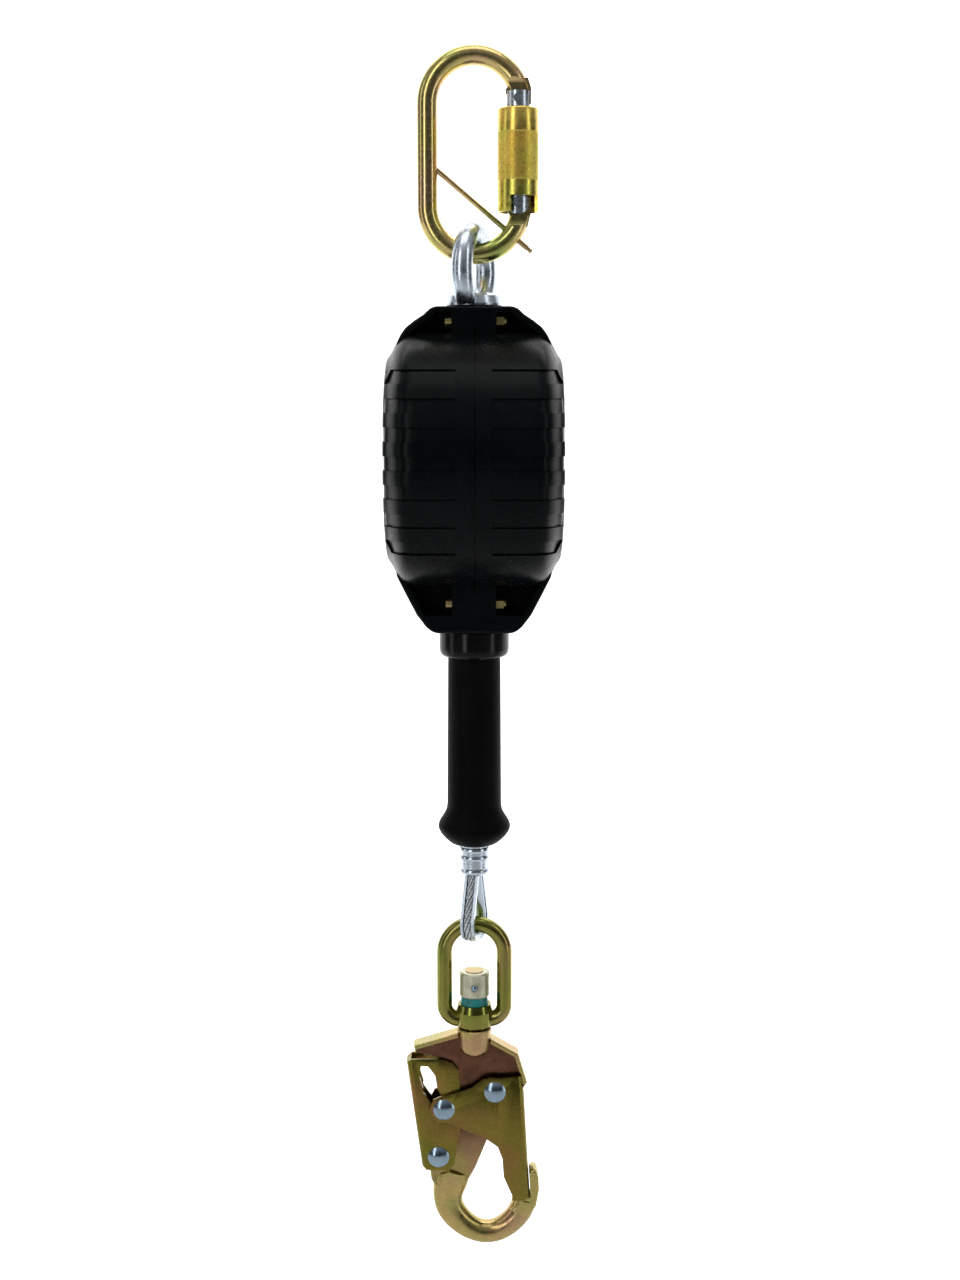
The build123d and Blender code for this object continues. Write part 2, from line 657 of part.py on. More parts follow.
def cable_pack():
    """The wound line: flat sides, rounded turns on the outside."""
    outer = LEAD_R - ROPE_R - 0.3
    turns = 7
    width = 2 * PACK_HALF / turns
    points = [(-PACK_HALF, DRUM_CORE_R), (PACK_HALF, DRUM_CORE_R)]
    for turn in range(turns):
        centre = PACK_HALF - (turn + 0.5) * width
        for step in (0.5, 0.25, 0, -0.25, -0.5):
            dip = width / 2 - math.sqrt(max((width / 2) ** 2 - (step * width * 0.96) ** 2, 0.2))
            points.append((centre + step * width, outer - dip))
    unique = [points[0]]
    for point in points[1:]:
        if abs(point[0] - unique[-1][0]) > 0.01:
            unique.append(point)
    return turned_x(unique)


def cable_anchor():
    """Pressed stop on the line's inner end, in the drum's flange."""
    y, z = polar(DRUM_CORE_R + 3.0, 200)
    return cylinder_x(y, z, PACK_HALF, DRUM_HALF + 1.0, ROPE_R)


# ---- retraction spring -------------------------------------------------------------
def spring_case():
    left = -PLATE_OUT - SPRING_W - 5.0
    right = -PLATE_OUT - 0.8
    wall = 1.5
    cup = turned_x([(right, SHAFT_R + 2.0), (right, CASE_SPRING_R), (left, CASE_SPRING_R),
                    (left, CASE_SPRING_R - wall), (right - wall, CASE_SPRING_R - wall),
                    (right - wall, SHAFT_R + 2.0)])
    for y, z in ((-18.0, 33.0), (18.0, 33.0), (0.0, -38.0)):
        cup += cylinder_x(y, CASE_Z + z, right - 0.2, -PLATE_OUT, 3.0)
    return cup


def spring_cover():
    left = -PLATE_OUT - SPRING_W - 5.0
    return ring_x(left - 1.4, left, SHAFT_R + 5.0, CASE_SPRING_R)


def power_spring():
    """Flat spiral band made of half turns about two alternating centres."""
    inner_r = SHAFT_R + 5.0
    outer_edge = []
    inner_edge = []
    half = SPRING_T / 2
    for index in range(2 * SPRING_TURNS):
        radius = inner_r + index * SPRING_PITCH / 2
        centre = 0.0 if index % 2 == 0 else SPRING_PITCH / 2
        start = 0 if index % 2 == 0 else 180
        outer_edge.append(CenterArc((centre, 0), radius + half, start, 180))
        inner_edge.append(CenterArc((centre, 0), radius - half, start, 180))
    close_in = Line(inner_edge[0] @ 0, outer_edge[0] @ 0)
    close_out = Line(inner_edge[-1] @ 1, outer_edge[-1] @ 1)
    band = make_face(Wire(outer_edge + inner_edge + [close_in, close_out]))
    left = -PLATE_OUT - SPRING_W - 4.0
    return extrude(Plane(origin=(left, 0, CASE_Z), x_dir=(0, 1, 0), z_dir=(1, 0, 0)) * band, SPRING_W)


def spring_arbor():
    left = -PLATE_OUT - SPRING_W - 4.0
    return ring_x(left, left + SPRING_W, SHAFT_R, SHAFT_R + 4.4)


# ---- overspeed brake ---------------------------------------------------------------
HUB_X = PLATE_OUT + 0.7
HUB_T = 3.2
PAWL_X = HUB_X + HUB_T + 0.3
RING_X = PAWL_X - 0.3
RING_T = 5.4


def pawl_angles():
    return (90.0, 270.0)


def brake_hub():
    hub = ring_x(HUB_X, HUB_X + HUB_T, SHAFT_R, 25.5)
    hub += ring_x(HUB_X, PAWL_X + PAWL_T + 4.0, SHAFT_R, SHAFT_R + 4.5)
    for angle in pawl_angles():
        y, z = polar(PAWL_PIVOT_R, angle)
        hub -= cylinder_x(y, z, 0, 60, 1.8)
    return hub


def pawl(angle):
    """Centrifugal pawl: pivot boss, curved arm and a hooked toe, swung inwards at rest."""
    outline = [(-4.0, -3.0), (1.0, -5.5), (4.2, -3.0), (4.4, 3.0), (3.2, 12.0), (1.5, 18.0), (-3.0, 18.6),
               (-5.4, 14.0), (-5.4, 5.0)]
    turn = math.radians(angle)
    points = []
    for radial, along in outline:
        r = PAWL_PIVOT_R + radial
        y = r * math.cos(turn) - along * math.sin(turn)
        z = r * math.sin(turn) + along * math.cos(turn)
        points.append((y, CASE_Z + z))
    arm = plate_yz(points, PAWL_X, PAWL_X + PAWL_T)
    y, z = polar(PAWL_PIVOT_R, angle)
    return arm - cylinder_x(y, z, 0, 60, 1.8 + RUN)


def pawl_pins():
    pins = []
    for angle in pawl_angles():
        y, z = polar(PAWL_PIVOT_R, angle)
        pin = cylinder_x(y, z, HUB_X, PAWL_X + PAWL_T + 0.3, 1.8)
        pin += cylinder_x(y, z, PAWL_X + PAWL_T + 0.3, PAWL_X + PAWL_T + 1.2, 2.9)
        pins.append(pin.solid())
    return Compound(children=pins)


def pawl_springs():
    springs = []
    for angle in pawl_angles():
        y, z = polar(PAWL_PIVOT_R, angle)
        spring = Pos(PAWL_X + PAWL_T + 1.6, y, z) * coil(2.2, 0.3, 0.8, 1.6, (1, 0, 0))
        springs.append(spring.solid())
    return Compound(children=springs)


def ratchet_ring():
    """Internal saw teeth; the steep faces meet the pawls as the line runs out."""
    pitch = 360 / TEETH
    lead = 38.0
    points = []
    for tooth in range(TEETH):
        steep = pawl_angles()[0] + lead + tooth * pitch
        points.append(polar(TOOTH_TIP_R, steep + 1.2))
        points.append(polar(TOOTH_TIP_R, steep + 4.0))
        points.append(polar(TOOTH_ROOT_R, steep + pitch - 0.6))
    ring = cylinder_x(0, CASE_Z, RING_X, RING_X + RING_T, TOOTH_ROOT_R + 3.0)
    ring += cylinder_x(0, CASE_Z, RING_X + 1.2, RING_X + 4.2, RING_R)
    return ring - plate_yz(points, RING_X - 1, RING_X + RING_T + 1)


PAD_T = 1.4
PAD_IN_R = TOOTH_ROOT_R + 4.0


def friction_pads():
    inner = ring_x(RING_X + 1.2 - PAD_T, RING_X + 1.2, PAD_IN_R, RING_R)
    outer = ring_x(RING_X + 4.2, RING_X + 4.2 + PAD_T, PAD_IN_R, RING_R)
    return Compound(children=[inner.solid(), outer.solid()])


def stud_places():
    return [polar(STUD_CIRCLE_R, 30 + 60 * index) for index in range(STUD_COUNT)]


def stud_ears(left, right):
    ears = ring_x(left, right, PAD_IN_R, RING_R + 0.8)
    for y, z in stud_places():
        ears += cylinder_x(y, z, left, right, 4.6)
        ears += rod((left / 2 + right / 2, y * 0.85, CASE_Z + (z - CASE_Z) * 0.85),
                    (left / 2 + right / 2, y, z), (right - left) / 2 * 0.98)
        ears -= cylinder_x(y, z, left - 1, right + 1, 2.0)
    return ears


BACK_X = RING_X + 1.2 - PAD_T - RUN


def brake_back_plate():
    plate = stud_ears(BACK_X - 2.0, BACK_X)
    for y, z in ((34.0, -20.0), (-34.0, -20.0), (0.0, 44.0)):
        plate += cylinder_x(y, CASE_Z + z, PLATE_OUT, BACK_X - 1.0, 2.6) & block(0, 60, -90, 90, -400, 0)
    return plate


PRESS_X = RING_X + 4.2 + PAD_T + RUN


def pressure_plate():
    return stud_ears(PRESS_X, PRESS_X + 2.0)


def disc_spring():
    base = PRESS_X + 2.0
    return turned_x([(base, RING_R), (base + 1.0, RING_R), (base + 2.6, PAD_IN_R + 1), (base + 1.6, PAD_IN_R + 1)])


def brake_studs():
    studs = []
    for y, z in stud_places():
        stud = cylinder_x(y, z, BACK_X - 2.0, PRESS_X + 2.0, 2.0)
        stud += cylinder_x(y, z, PRESS_X + 2.0, PRESS_X + 4.2, 3.4)
        studs.append(stud.solid())
    return Compound(children=studs)


# ---- line end ----------------------------------------------------------------------
def grip_sleeve():
    """Soft grip with a flared, rounded foot that stops against the nozzle."""
    top = GRIP_TOP
    low = GRIP_LOW
    flare_z = low + 9.4
    outer = Spline([(GRIP_R + 0.55, 0, low + 24.0), (GRIP_R + 1.4, 0, low + 18.0),
                    (GRIP_FLARE_R, 0, flare_z), (GRIP_FLARE_R - 6.2, 0, low + 1.0), (9.6, 0, low)],
                   tangents=[(0, 0, -1), (-1, 0, 0)])
    lines = [Line((6.0, 0, top), (GRIP_R - 1, 0, top)), Line((GRIP_R - 1, 0, top), (GRIP_R, 0, top - 1)),
             Line((GRIP_R, 0, top - 1), (GRIP_R + 0.55, 0, low + 24.0)), outer,
             Line((9.6, 0, low), (8.6, 0, low + 0.6)), Line((8.6, 0, low + 0.6), (8.6, 0, FERRULE_TOP + 0.3)),
             Line((8.6, 0, FERRULE_TOP + 0.3), (6.0, 0, FERRULE_TOP + 0.3)),
             Line((6.0, 0, FERRULE_TOP + 0.3), (6.0, 0, top))]
    return revolve(make_face(Wire(lines)), Axis.Z)


def grip_core():
    return turned_z([(ROPE_R, GRIP_TOP), (6.0, GRIP_TOP), (6.0, FERRULE_TOP + 6.0),
                     (3.6, FERRULE_TOP + 6.0), (3.6, FERRULE_TOP + 10.0), (ROPE_R, FERRULE_TOP + 10.0)])


def loop_plane():
    """The thimble's plane, turned about Z: local x runs to the back right."""
    angle = math.radians(90 + END_YAW)
    return Plane(origin=(0, 0, 0), x_dir=(math.cos(angle), math.sin(angle), 0),
                 z_dir=(math.sin(angle), -math.cos(angle), 0))


def loop_points():
    """Tangent point of the loop's straight sides and arc, in the loop plane (s, z)."""
    top = (ROPE_R + 0.02, FERRULE_LOW)
    rise = top[1] - THIMBLE_Z
    span = math.hypot(top[0], rise)
    base = math.atan2(rise, top[0])
    swing = math.acos(LOOP_R / span)
    tangent = base - swing
    return top, (LOOP_R * math.cos(tangent), THIMBLE_Z + LOOP_R * math.sin(tangent)), tangent


def loop_path():
    top, touch, _ = loop_points()
    right = Line(top, touch)
    arc = ThreePointArc(touch, (0, THIMBLE_Z - LOOP_R), (-touch[0], touch[1]))
    left = Line((-touch[0], touch[1]), (-top[0], top[1]))
    return Wire([loop_plane() * right, loop_plane() * arc, loop_plane() * left])


def swept(path, section):
    return sweep(Plane(origin=path @ 0, z_dir=path % 0, x_dir=loop_plane().z_dir) * section, path)


def cable_tail():
    path = loop_path()
    rope = swept(path, Circle(ROPE_R))
    front = path @ 1
    back = path @ 0
    knee = Vector(front.X, front.Y, FERRULE_TOP - 4.0)
    above = Vector(0, 0, FERRULE_TOP + 8.0)
    for start, end in ((front, knee), (knee, above)):
        rope += rod(tuple(start), tuple(end), ROPE_R)
    for joint in (front, knee, above, back):
        rope += Pos(joint.X, joint.Y, joint.Z) * Sphere(ROPE_R)
    rope += rod(tuple(back), (back.X, back.Y, FERRULE_TOP - 2.0), ROPE_R)
    rope += cylinder_z(0, 0, FERRULE_TOP + 8.0, GRIP_TOP, ROPE_R)
    return rope


def swage_ferrule():
    ridge = FERRULE_R
    waist = FERRULE_R - 0.8
    top = FERRULE_TOP
    low = FERRULE_LOW
    points = [(0, top), (waist - 1, top), (waist, top - 1)]
    for centre in (low + 14.0, low + 9.6, low + 2.2):
        for degrees in (90, 45, 0, -45, -90):
            angle = math.radians(degrees)
            points.append((waist + 0.8 * math.cos(angle), centre + 1.5 * math.sin(angle)))
    points += [(ridge - 1.6, low), (0, low)]
    return turned_z(points) - cable_tail()


def thimble():
    """Grooved liner inside the loop: a half tube that follows the line."""
    inner = ROPE_R
    outer = ROPE_R + THIMBLE_WALL
    ring = Circle(outer) - Circle(inner)
    ring -= Pos(0, 8.0) * Rectangle(20, 16 - 1.2)
    cheeks = Pos(THIMBLE_HALF - 0.75, 0.9) * Rectangle(1.5, 1.8)
    cheeks += Pos(0.75 - THIMBLE_HALF, 0.9) * Rectangle(1.5, 1.8)
    section = ring + (cheeks - Circle(inner))
    path = loop_path()
    mouth = FERRULE_LOW - SEAT
    liner = swept(path, section)
    test = swept(path, Pos(0, -outer) * Circle(0.2))
    reach = test.bounding_box().min.Z
    if reach < THIMBLE_Z - LOOP_R:
        liner = swept(path, Rot(0, 0, 180) * section)
    liner -= block(-40, 40, -40, 40, mouth, mouth + 40)
    return liner - cable_tail()


# ---- swivel ------------------------------------------------------------------------
def swivel_bail():
    half = BAIL_BOW_R
    top = BAIL_BAR_Z - half
    corner = 8.5
    bar_z = BAIL_LOW + 4.2
    hub_side = HUB_R - 2.0
    bail = revolve(Plane.XY * Pos(half, 0) * Circle(BAIL_BAR_R), Axis.Y, 180)
    bail = Pos(0, 0, top) * (bail if bail.bounding_box().max.Z > BAIL_BAR_R else Rot(180, 0, 0) * bail)
    for side in (-1, 1):
        bail += cylinder_z(side * half, 0, bar_z + corner, top, BAIL_BAR_R)
        path = FilletPolyline((side * half, 0, bar_z + corner + 4), (side * half, 0, bar_z),
                              (side * hub_side, 0, bar_z), radius=corner)
        bail += sweep(Plane(origin=path @ 0, z_dir=path % 0) * Circle(BAIL_BAR_R), path)
    hub = turned_z([(0, BAIL_LOW), (HUB_R - 1.2, BAIL_LOW), (HUB_R, BAIL_LOW + 1.5), (HUB_R + 0.3, HUB_TOP - 4),
                    (HUB_R - 0.6, HUB_TOP), (0, HUB_TOP)])
    bail += hub
    bail -= cylinder_z(0, 0, BAIL_LOW - 2, HUB_TOP + 2, STEM_R + RUN)
    return bail - cylinder_z(0, 0, HUB_TOP - 3.4, HUB_TOP + 2, 7.7)


def load_indicator():
    low = HUB_TOP - 3.4
    return turned_z([(STEM_R + 0.3, low), (7.7, low), (7.7, HUB_TOP), (7.3, NUT_LOW - SLIP),
                     (STEM_R + 0.3, NUT_LOW - SLIP)])


def nut_pin_z():
    return NUT_TOP - 7.6


def swivel_nut():
    nut = turned_z([(STEM_R, NUT_LOW), (NUT_R - 0.8, NUT_LOW), (NUT_R, NUT_LOW + 0.8), (NUT_R, NUT_TOP - 0.9),
                    (NUT_R - 0.9, NUT_TOP), (STEM_R, NUT_TOP)])
    return nut - cylinder_y(0, nut_pin_z(), -20, 20, 1.9)


def nut_pin():
    return cylinder_y(0, nut_pin_z(), -NUT_R + 0.2, NUT_R - 0.2, 1.9)


# ---- snap hook ---------------------------------------------------------------------
def bow_station(x, drop, degrees, half_width):
    """An elliptical section of the hook's bow; degrees is the path's direction in XZ."""
    angle = math.radians(degrees)
    px, pz = hook_point(x, drop)
    frame = Plane(origin=(px, 0, pz), x_dir=(math.sin(angle), 0, -math.cos(angle)),
                  z_dir=(math.cos(angle), 0, math.sin(angle)))
    return frame * Ellipse(half_width, BOW_T)


def hook_bow():
    stations = [(-11.5, 83.5, 252, 8.6), (-14.8, 97.0, 264, 8.6), (-11.4, 109.8, 302, 7.6),
                (-3.0, 117.6, 330, 6.7), (6.2, 120.6, 0, 6.35), (16.2, 117.9, 30, 6.5),
                (24.4, 110.2, 56, 6.8), (28.6, 100.4, 74, 6.6)]
    return loft([bow_station(*station) for station in stations])


def gate_edge(drop):
    """X of the closed gate's right edge at a drop below the hook's datum."""
    return 26.9 + (drop - 25.8) * 4.2 / 71.7


def hook_rim():
    """Raised forged rim along the plate's upper edges."""
    left = [hook_point(*p) for p in ((-33.6, 9.2), (-9.1, 1.9), (-8.4, 4.5), (-32.8, 11.8))]
    right = [hook_point(*p) for p in ((9.2, 5.4), (24.2, 14.2), (29.3, 31.1), (26.6, 31.6), (22.2, 16.0), (8.4, 8.0))]
    rim = plate_xz(left, -HOOK_T - 1.1, HOOK_T + 1.1) + plate_xz(right, -HOOK_T - 1.1, HOOK_T + 1.1)
    return fillet(rim.edges().group_by(Axis.Y)[0] + rim.edges().group_by(Axis.Y)[-1], 0.7)


def hook_body():
    half = HOOK_T
    outline = [hook_point(*p) for p in (
        (-33.6, 9.2), (-9.1, 1.9), (9.2, 5.4), (24.2, 14.2), (29.3, 31.1), (26.7, 35.4), (22.5, 34.0),
        (19.0, 42.5), (11.5, 55.0), (6.6, 65.9), (0.6, 81.0), (-4.6, 90.5), (-9.4, 97.5), (-14.0, 100.5),
        (-20.0, 96.0), (-24.2, 88.0), (-25.0, 82.0), (-25.0, 60.0),
        (-12.4, 53.5), (-12.4, 31.5), (-20.8, 27.0), (-20.8, 16.4), (-32.9, 13.6))]
    plate = plate_xz(outline, -half, half)
    plate = fillet(plate.edges().group_by(Axis.Y)[0] + plate.edges().group_by(Axis.Y)[-1], 1.0)
    boss_low = BOSS_TOP - 13.0
    boss = turned_z([(0, BOSS_TOP), (HUB_R - 0.7, BOSS_TOP), (HUB_R - 0.2, BOSS_TOP - 0.5),
                     (HUB_R - 0.4, boss_low + 3), (0, boss_low + 3)])
    foot = Pos(0, 0, boss_low + 3) * scale(Sphere(1), by=(HUB_R - 0.4, HUB_R - 0.4, 7.5))
    stem = cylinder_z(0, 0, BOSS_TOP - 2, NUT_TOP + 0.4, STEM_R)
    nose = plate_xz([hook_point(*p) for p in ((20.0, 106.0), (29.0, 96.0), (29.0, 86.0), (31.0, 82.4), (33.0, 81.2),
                                              (34.9, 82.6), (36.0, 87.0), (36.3, 94.0), (34.6, 103.5),
                                              (28.5, 112.5))], -5.6, 5.6)
    nose = fillet(nose.edges().group_by(Axis.Y)[0] + nose.edges().group_by(Axis.Y)[-1], 1.6)
    hook = plate + hook_rim() + boss + foot + stem + hook_bow() + nose
    sweep_r = TIP_R + 0.8
    seat = cylinder_y(GATE_PIVOT[0], GATE_PIVOT[1], -20, 20, sweep_r)
    seat &= plate_xz([hook_point(*p) for p in ((15.0, 76.0), (gate_edge(76.0) + SEAT, 76.0),
                                               (gate_edge(104.0) + SEAT, 104.0), (15.0, 104.0))], -20, 20)
    hook -= seat
    lever_room = cylinder_y(LEVER_PIVOT[0], LEVER_PIVOT[1], HOOK_T, 20, LEVER_REACH + SEAT)
    hook -= lever_room + mirror(lever_room, Plane.XZ)
    hook -= cylinder_y(GATE_PIVOT[0], GATE_PIVOT[1], -20, 20, RIVET_R)
    hook -= cylinder_y(LEVER_PIVOT[0], LEVER_PIVOT[1], -20, 20, RIVET_R)
    return hook - cylinder_y(0, nut_pin_z(), -20, 20, 1.9)


def hook_gate():
    arm = 7.6
    outline = [hook_point(*p) for p in (
        (-9.1, 34.9), (-1.9, 32.8), (4.8, 27.6), (9.0, 26.4), (14.7, 26.8), (26.9, 25.8), (31.1, 97.5),
        (31.0, 98.6), (21.0, 98.6), (21.0, 95.5), (16.3, 84.5), (15.6, 74.0), (13.0, 67.0), (6.4, 62.1))]
    tail = [hook_point(*p) for p in ((-23.5, 48.8), (-22.8, 39.4), (-9.1, 34.9), (6.4, 62.1))]
    solid = plate_xz(outline, -GATE_OUT, GATE_OUT)
    right = [e for e in solid.edges().filter_by(lambda e: abs(e.length - 71.8) < 0.6) if e.center().X > 25]
    solid = fillet(right, 4.0) if right else solid
    solid += plate_xz(tail, -GATE_OUT, GATE_OUT)
    solid += cylinder_y(LINK_PIVOT[0], LINK_PIVOT[1], -GATE_OUT, GATE_OUT, arm)
    core = [hook_point(*p) for p in ((-40.0, 20.0), (40.0, 20.0), (40.0, 37.4), (25.8, 37.4), (29.4, 97.5),
                                     (29.4, 101.0), (-40.0, 101.0))]
    solid -= plate_xz(core, -GATE_IN, GATE_IN)
    solid &= cylinder_y(GATE_PIVOT[0], GATE_PIVOT[1], -20, 20, TIP_R)
    solid -= cylinder_y(GATE_PIVOT[0], GATE_PIVOT[1], -20, 20, RIVET_R + RUN)
    return solid - cylinder_y(LINK_PIVOT[0], LINK_PIVOT[1], -20, 20, RIVET_R)


def turned_about(point, pivot, degrees):
    """Turn an XZ point clockwise, as seen from the front, about a pivot."""
    angle = math.radians(degrees)
    x = point[0] - pivot[0]
    z = point[1] - pivot[1]
    return (pivot[0] + x * math.cos(angle) + z * math.sin(angle),
            pivot[1] - x * math.sin(angle) + z * math.cos(angle))


def lever_slot():
    """Room for the link rivet: its path in the lever's own frame."""
    slot = None
    steps = 6
    for index in range(steps + 1):
        swing = HOOK_OPEN_DEG * 1.05 * index / steps
        place = turned_about(LINK_PIVOT, GATE_PIVOT, swing)
        place = turned_about(place, LEVER_PIVOT, -LEVER_RATIO * swing)
        hole = cylinder_y(place[0], place[1], -20, 20, RIVET_R + 0.45)
        slot = hole if slot is None else slot + hole
    return slot


def lock_lever():
    outline = [hook_point(*p) for p in (
        (-37.6, 18.4), (-34.6, 16.7), (-17.3, 17.0), (-12.0, 18.9), (-8.8, 23.0), (-8.0, 34.0), (-8.0, 58.4),
        (-11.4, 78.0), (-14.0, 81.4), (-26.8, 81.4), (-29.4, 79.0))]
    solid = plate_xz(outline, -LEVER_OUT, LEVER_OUT)
    left = [e for e in solid.edges() if abs(e.length - 61.1) < 0.8 and e.center().X < -30]
    solid = fillet(left, 3.0) if left else solid
    core = [hook_point(*p) for p in ((-35.9, 10.0), (20.0, 10.0), (20.0, 90.0), (-27.7, 90.0), (-27.7, 78.0))]
    solid -= plate_xz(core, -LEVER_IN, LEVER_IN)
    window = [hook_point(*p) for p in ((-29.6, 20.6), (-25.6, 20.8), (-21.8, 26.0), (-20.4, 34.2), (-15.5, 41.0),
                                       (-15.5, 48.0), (-21.5, 46.0), (-27.0, 38.0), (-30.4, 27.0))]
    solid -= plate_xz(window, -20, 20)
    solid -= lever_slot()
    return solid - cylinder_y(LEVER_PIVOT[0], LEVER_PIVOT[1], -20, 20, RIVET_R + RUN)


def rivet(place, shaft_half):
    """A through rivet with a low domed head on each side."""
    body = cylinder_y(place[0], place[1], -shaft_half, shaft_half, RIVET_R)
    ball = (HEAD_R ** 2 + HEAD_H ** 2) / (2 * HEAD_H)
    for side in (-1, 1):
        centre = side * (shaft_half + HEAD_H - ball)
        dome = Pos(place[0], centre, place[1]) * Sphere(ball)
        keep = block(-60, 60, min(side * shaft_half, side * 30), max(side * shaft_half, side * 30),
                     place[1] - 20, place[1] + 20)
        body += dome & keep
    return body


def hook_rivets():
    """The two pivots held in the forging: the gate's and the lever's."""
    gate = rivet(GATE_PIVOT, GATE_OUT + SLIP)
    lever = rivet(LEVER_PIVOT, LEVER_OUT + SLIP)
    return Compound(children=[gate.solid(), lever.solid()])


def link_rivet():
    return rivet(LINK_PIVOT, GATE_OUT)


def hook_gate_spring():
    springs = []
    for side in (-1, 1):
        start = side * (HOOK_T + 0.75)
        spring = Pos(GATE_PIVOT[0], start, GATE_PIVOT[1]) * coil(4.2, 0.45, 1.05, 1.2, (0, side, 0))
        springs.append(spring.solid())
    return Compound(children=springs)


def lever_spring():
    x, z = hook_point(-28.4, 66.0)
    return Pos(x, 0, z) * coil(2.0, 0.35, 1.1, 2.9, (1, 0, 0))


# ---- all pieces --------------------------------------------------------------------
def housing_half(side):
    solid = housing_solid()
    return solid & block(min(0, side * 80), max(0, side * 80), -120, 120, CASE_LOW - 20, CASE_TOP + 20)


def all_parts():
    return {
        "carabiner_body": carabiner_body(), "captive_pin": captive_pin(), "gate_hinge_rivet": gate_hinge_rivet(),
        "gate_latch_pin": gate_latch_pin(), "carabiner_gate": carabiner_gate(), "gate_spring": gate_spring(),
        "lock_sleeve": lock_sleeve(), "sleeve_spring": sleeve_spring(),
        "anchor_eye": anchor_eye(), "eye_nut": eye_nut(),
        "eye_roll_pin": eye_roll_pin(), "eye_bush": eye_bush(),
        "housing_left": housing_half(-1), "housing_right": housing_half(1),
        "housing_bolts": case_bolts(True), "housing_nuts": case_bolts(False),
        "nozzle_collar": nozzle_collar(), "cable_guide": cable_guide(), "cable_lead": cable_lead(),
        "frame_plates": frame_plates(), "frame_bridge": frame_bridge(), "frame_screws": frame_screws(), "frame_spacers": frame_spacers(),
        "shaft_bushes": shaft_bushes(), "main_shaft": main_shaft(), "shaft_clips": shaft_clips(), "drum": drum(), "cable_pack": cable_pack(),
        "cable_anchor": cable_anchor(), "spring_case": spring_case(), "spring_cover": spring_cover(),
        "power_spring": power_spring(), "spring_arbor": spring_arbor(), "brake_hub": brake_hub(),
        "pawl_a": pawl(pawl_angles()[0]), "pawl_b": pawl(pawl_angles()[1]), "pawl_pins": pawl_pins(),
        "pawl_springs": pawl_springs(), "ratchet_ring": ratchet_ring(), "friction_pads": friction_pads(),
        "brake_back_plate": brake_back_plate(), "pressure_plate": pressure_plate(),
        "disc_spring": disc_spring(), "brake_studs": brake_studs(),
        "grip_sleeve": grip_sleeve(), "grip_core": grip_core(), "cable_tail": cable_tail(),
        "swage_ferrule": swage_ferrule(), "thimble": thimble(),
        "swivel_bail": swivel_bail(), "load_indicator": load_indicator(), "swivel_nut": swivel_nut(),
        "nut_pin": nut_pin(), "hook_body": hook_body(), "hook_gate": hook_gate(), "lock_lever": lock_lever(),
        "hook_rivets": hook_rivets(), "link_rivet": link_rivet(),
        "hook_gate_spring": hook_gate_spring(), "lever_spring": lever_spring(),
    }


os.makedirs("parts", exist_ok=True)
for name, solid in all_parts().items():
    export_step(solid, f"parts/{name}.step")
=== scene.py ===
"""Looks for the self retracting lifeline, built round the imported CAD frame."""
import json
import math

import bmesh
import bpy
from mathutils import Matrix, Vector
from mathutils.kdtree import KDTree


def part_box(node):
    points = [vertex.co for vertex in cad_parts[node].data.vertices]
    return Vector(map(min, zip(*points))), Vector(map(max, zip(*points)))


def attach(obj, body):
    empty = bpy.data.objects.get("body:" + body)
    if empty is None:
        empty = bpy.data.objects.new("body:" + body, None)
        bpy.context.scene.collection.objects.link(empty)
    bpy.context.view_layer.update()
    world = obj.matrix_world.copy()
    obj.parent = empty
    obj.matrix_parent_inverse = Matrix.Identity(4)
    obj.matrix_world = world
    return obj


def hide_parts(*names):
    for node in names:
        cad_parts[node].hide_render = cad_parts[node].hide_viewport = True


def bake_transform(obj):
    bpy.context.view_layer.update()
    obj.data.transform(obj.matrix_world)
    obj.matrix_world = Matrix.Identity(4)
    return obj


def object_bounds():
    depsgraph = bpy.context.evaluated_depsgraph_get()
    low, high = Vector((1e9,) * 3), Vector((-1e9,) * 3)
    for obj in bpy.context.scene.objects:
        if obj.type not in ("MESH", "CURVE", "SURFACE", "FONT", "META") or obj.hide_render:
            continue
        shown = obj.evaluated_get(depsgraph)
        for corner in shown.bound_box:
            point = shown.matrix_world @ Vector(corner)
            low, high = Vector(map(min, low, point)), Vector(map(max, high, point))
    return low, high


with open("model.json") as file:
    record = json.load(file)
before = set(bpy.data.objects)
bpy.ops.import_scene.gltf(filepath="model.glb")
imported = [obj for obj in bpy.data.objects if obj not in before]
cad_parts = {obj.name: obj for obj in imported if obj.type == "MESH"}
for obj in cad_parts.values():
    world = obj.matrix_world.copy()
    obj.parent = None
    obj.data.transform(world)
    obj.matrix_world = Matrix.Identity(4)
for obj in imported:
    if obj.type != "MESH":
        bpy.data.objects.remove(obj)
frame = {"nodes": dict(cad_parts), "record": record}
cad_low, cad_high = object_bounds()
MM = 0.001

# Wire rope, as laid round the thimble
ROPE_R = 2.4 * MM                 # outside radius
STRANDS = 6
STRAND_WIRES = 9                  # outer wires that show on one strand
LAY = 27 * MM                     # length for one turn of the strands
LOOP_R = 10.1 * MM                # the rope's centre line round the thimble
LOOP_TURN = math.radians(70)      # heading of the loop's plane, to the back right

EDGE_BREAK = 0.38 * MM            # width of the eased edges of the pressed sheets

# Lock sleeve
KNURLS_AROUND = 36                # diamonds round the sleeve
KNURL_COLUMNS = 8                 # mesh columns to one diamond
KNURL_ROWS = 6                    # mesh rows to one diamond
KNURL_PITCH = 1.35 * MM
KNURL_DEPTH = 0.55 * MM
KNURL_RISE = 0.12 * MM            # the knurl's points stand this far over the plain ends
KNURL_FADE = 0.5 * MM             # the knurl runs out over this length
SKIRT_WALL = 1.55 * MM
NOTCH_FROM = math.radians(-112)   # the notch's two sides, round the sleeve's axis
NOTCH_TO = math.radians(-15)

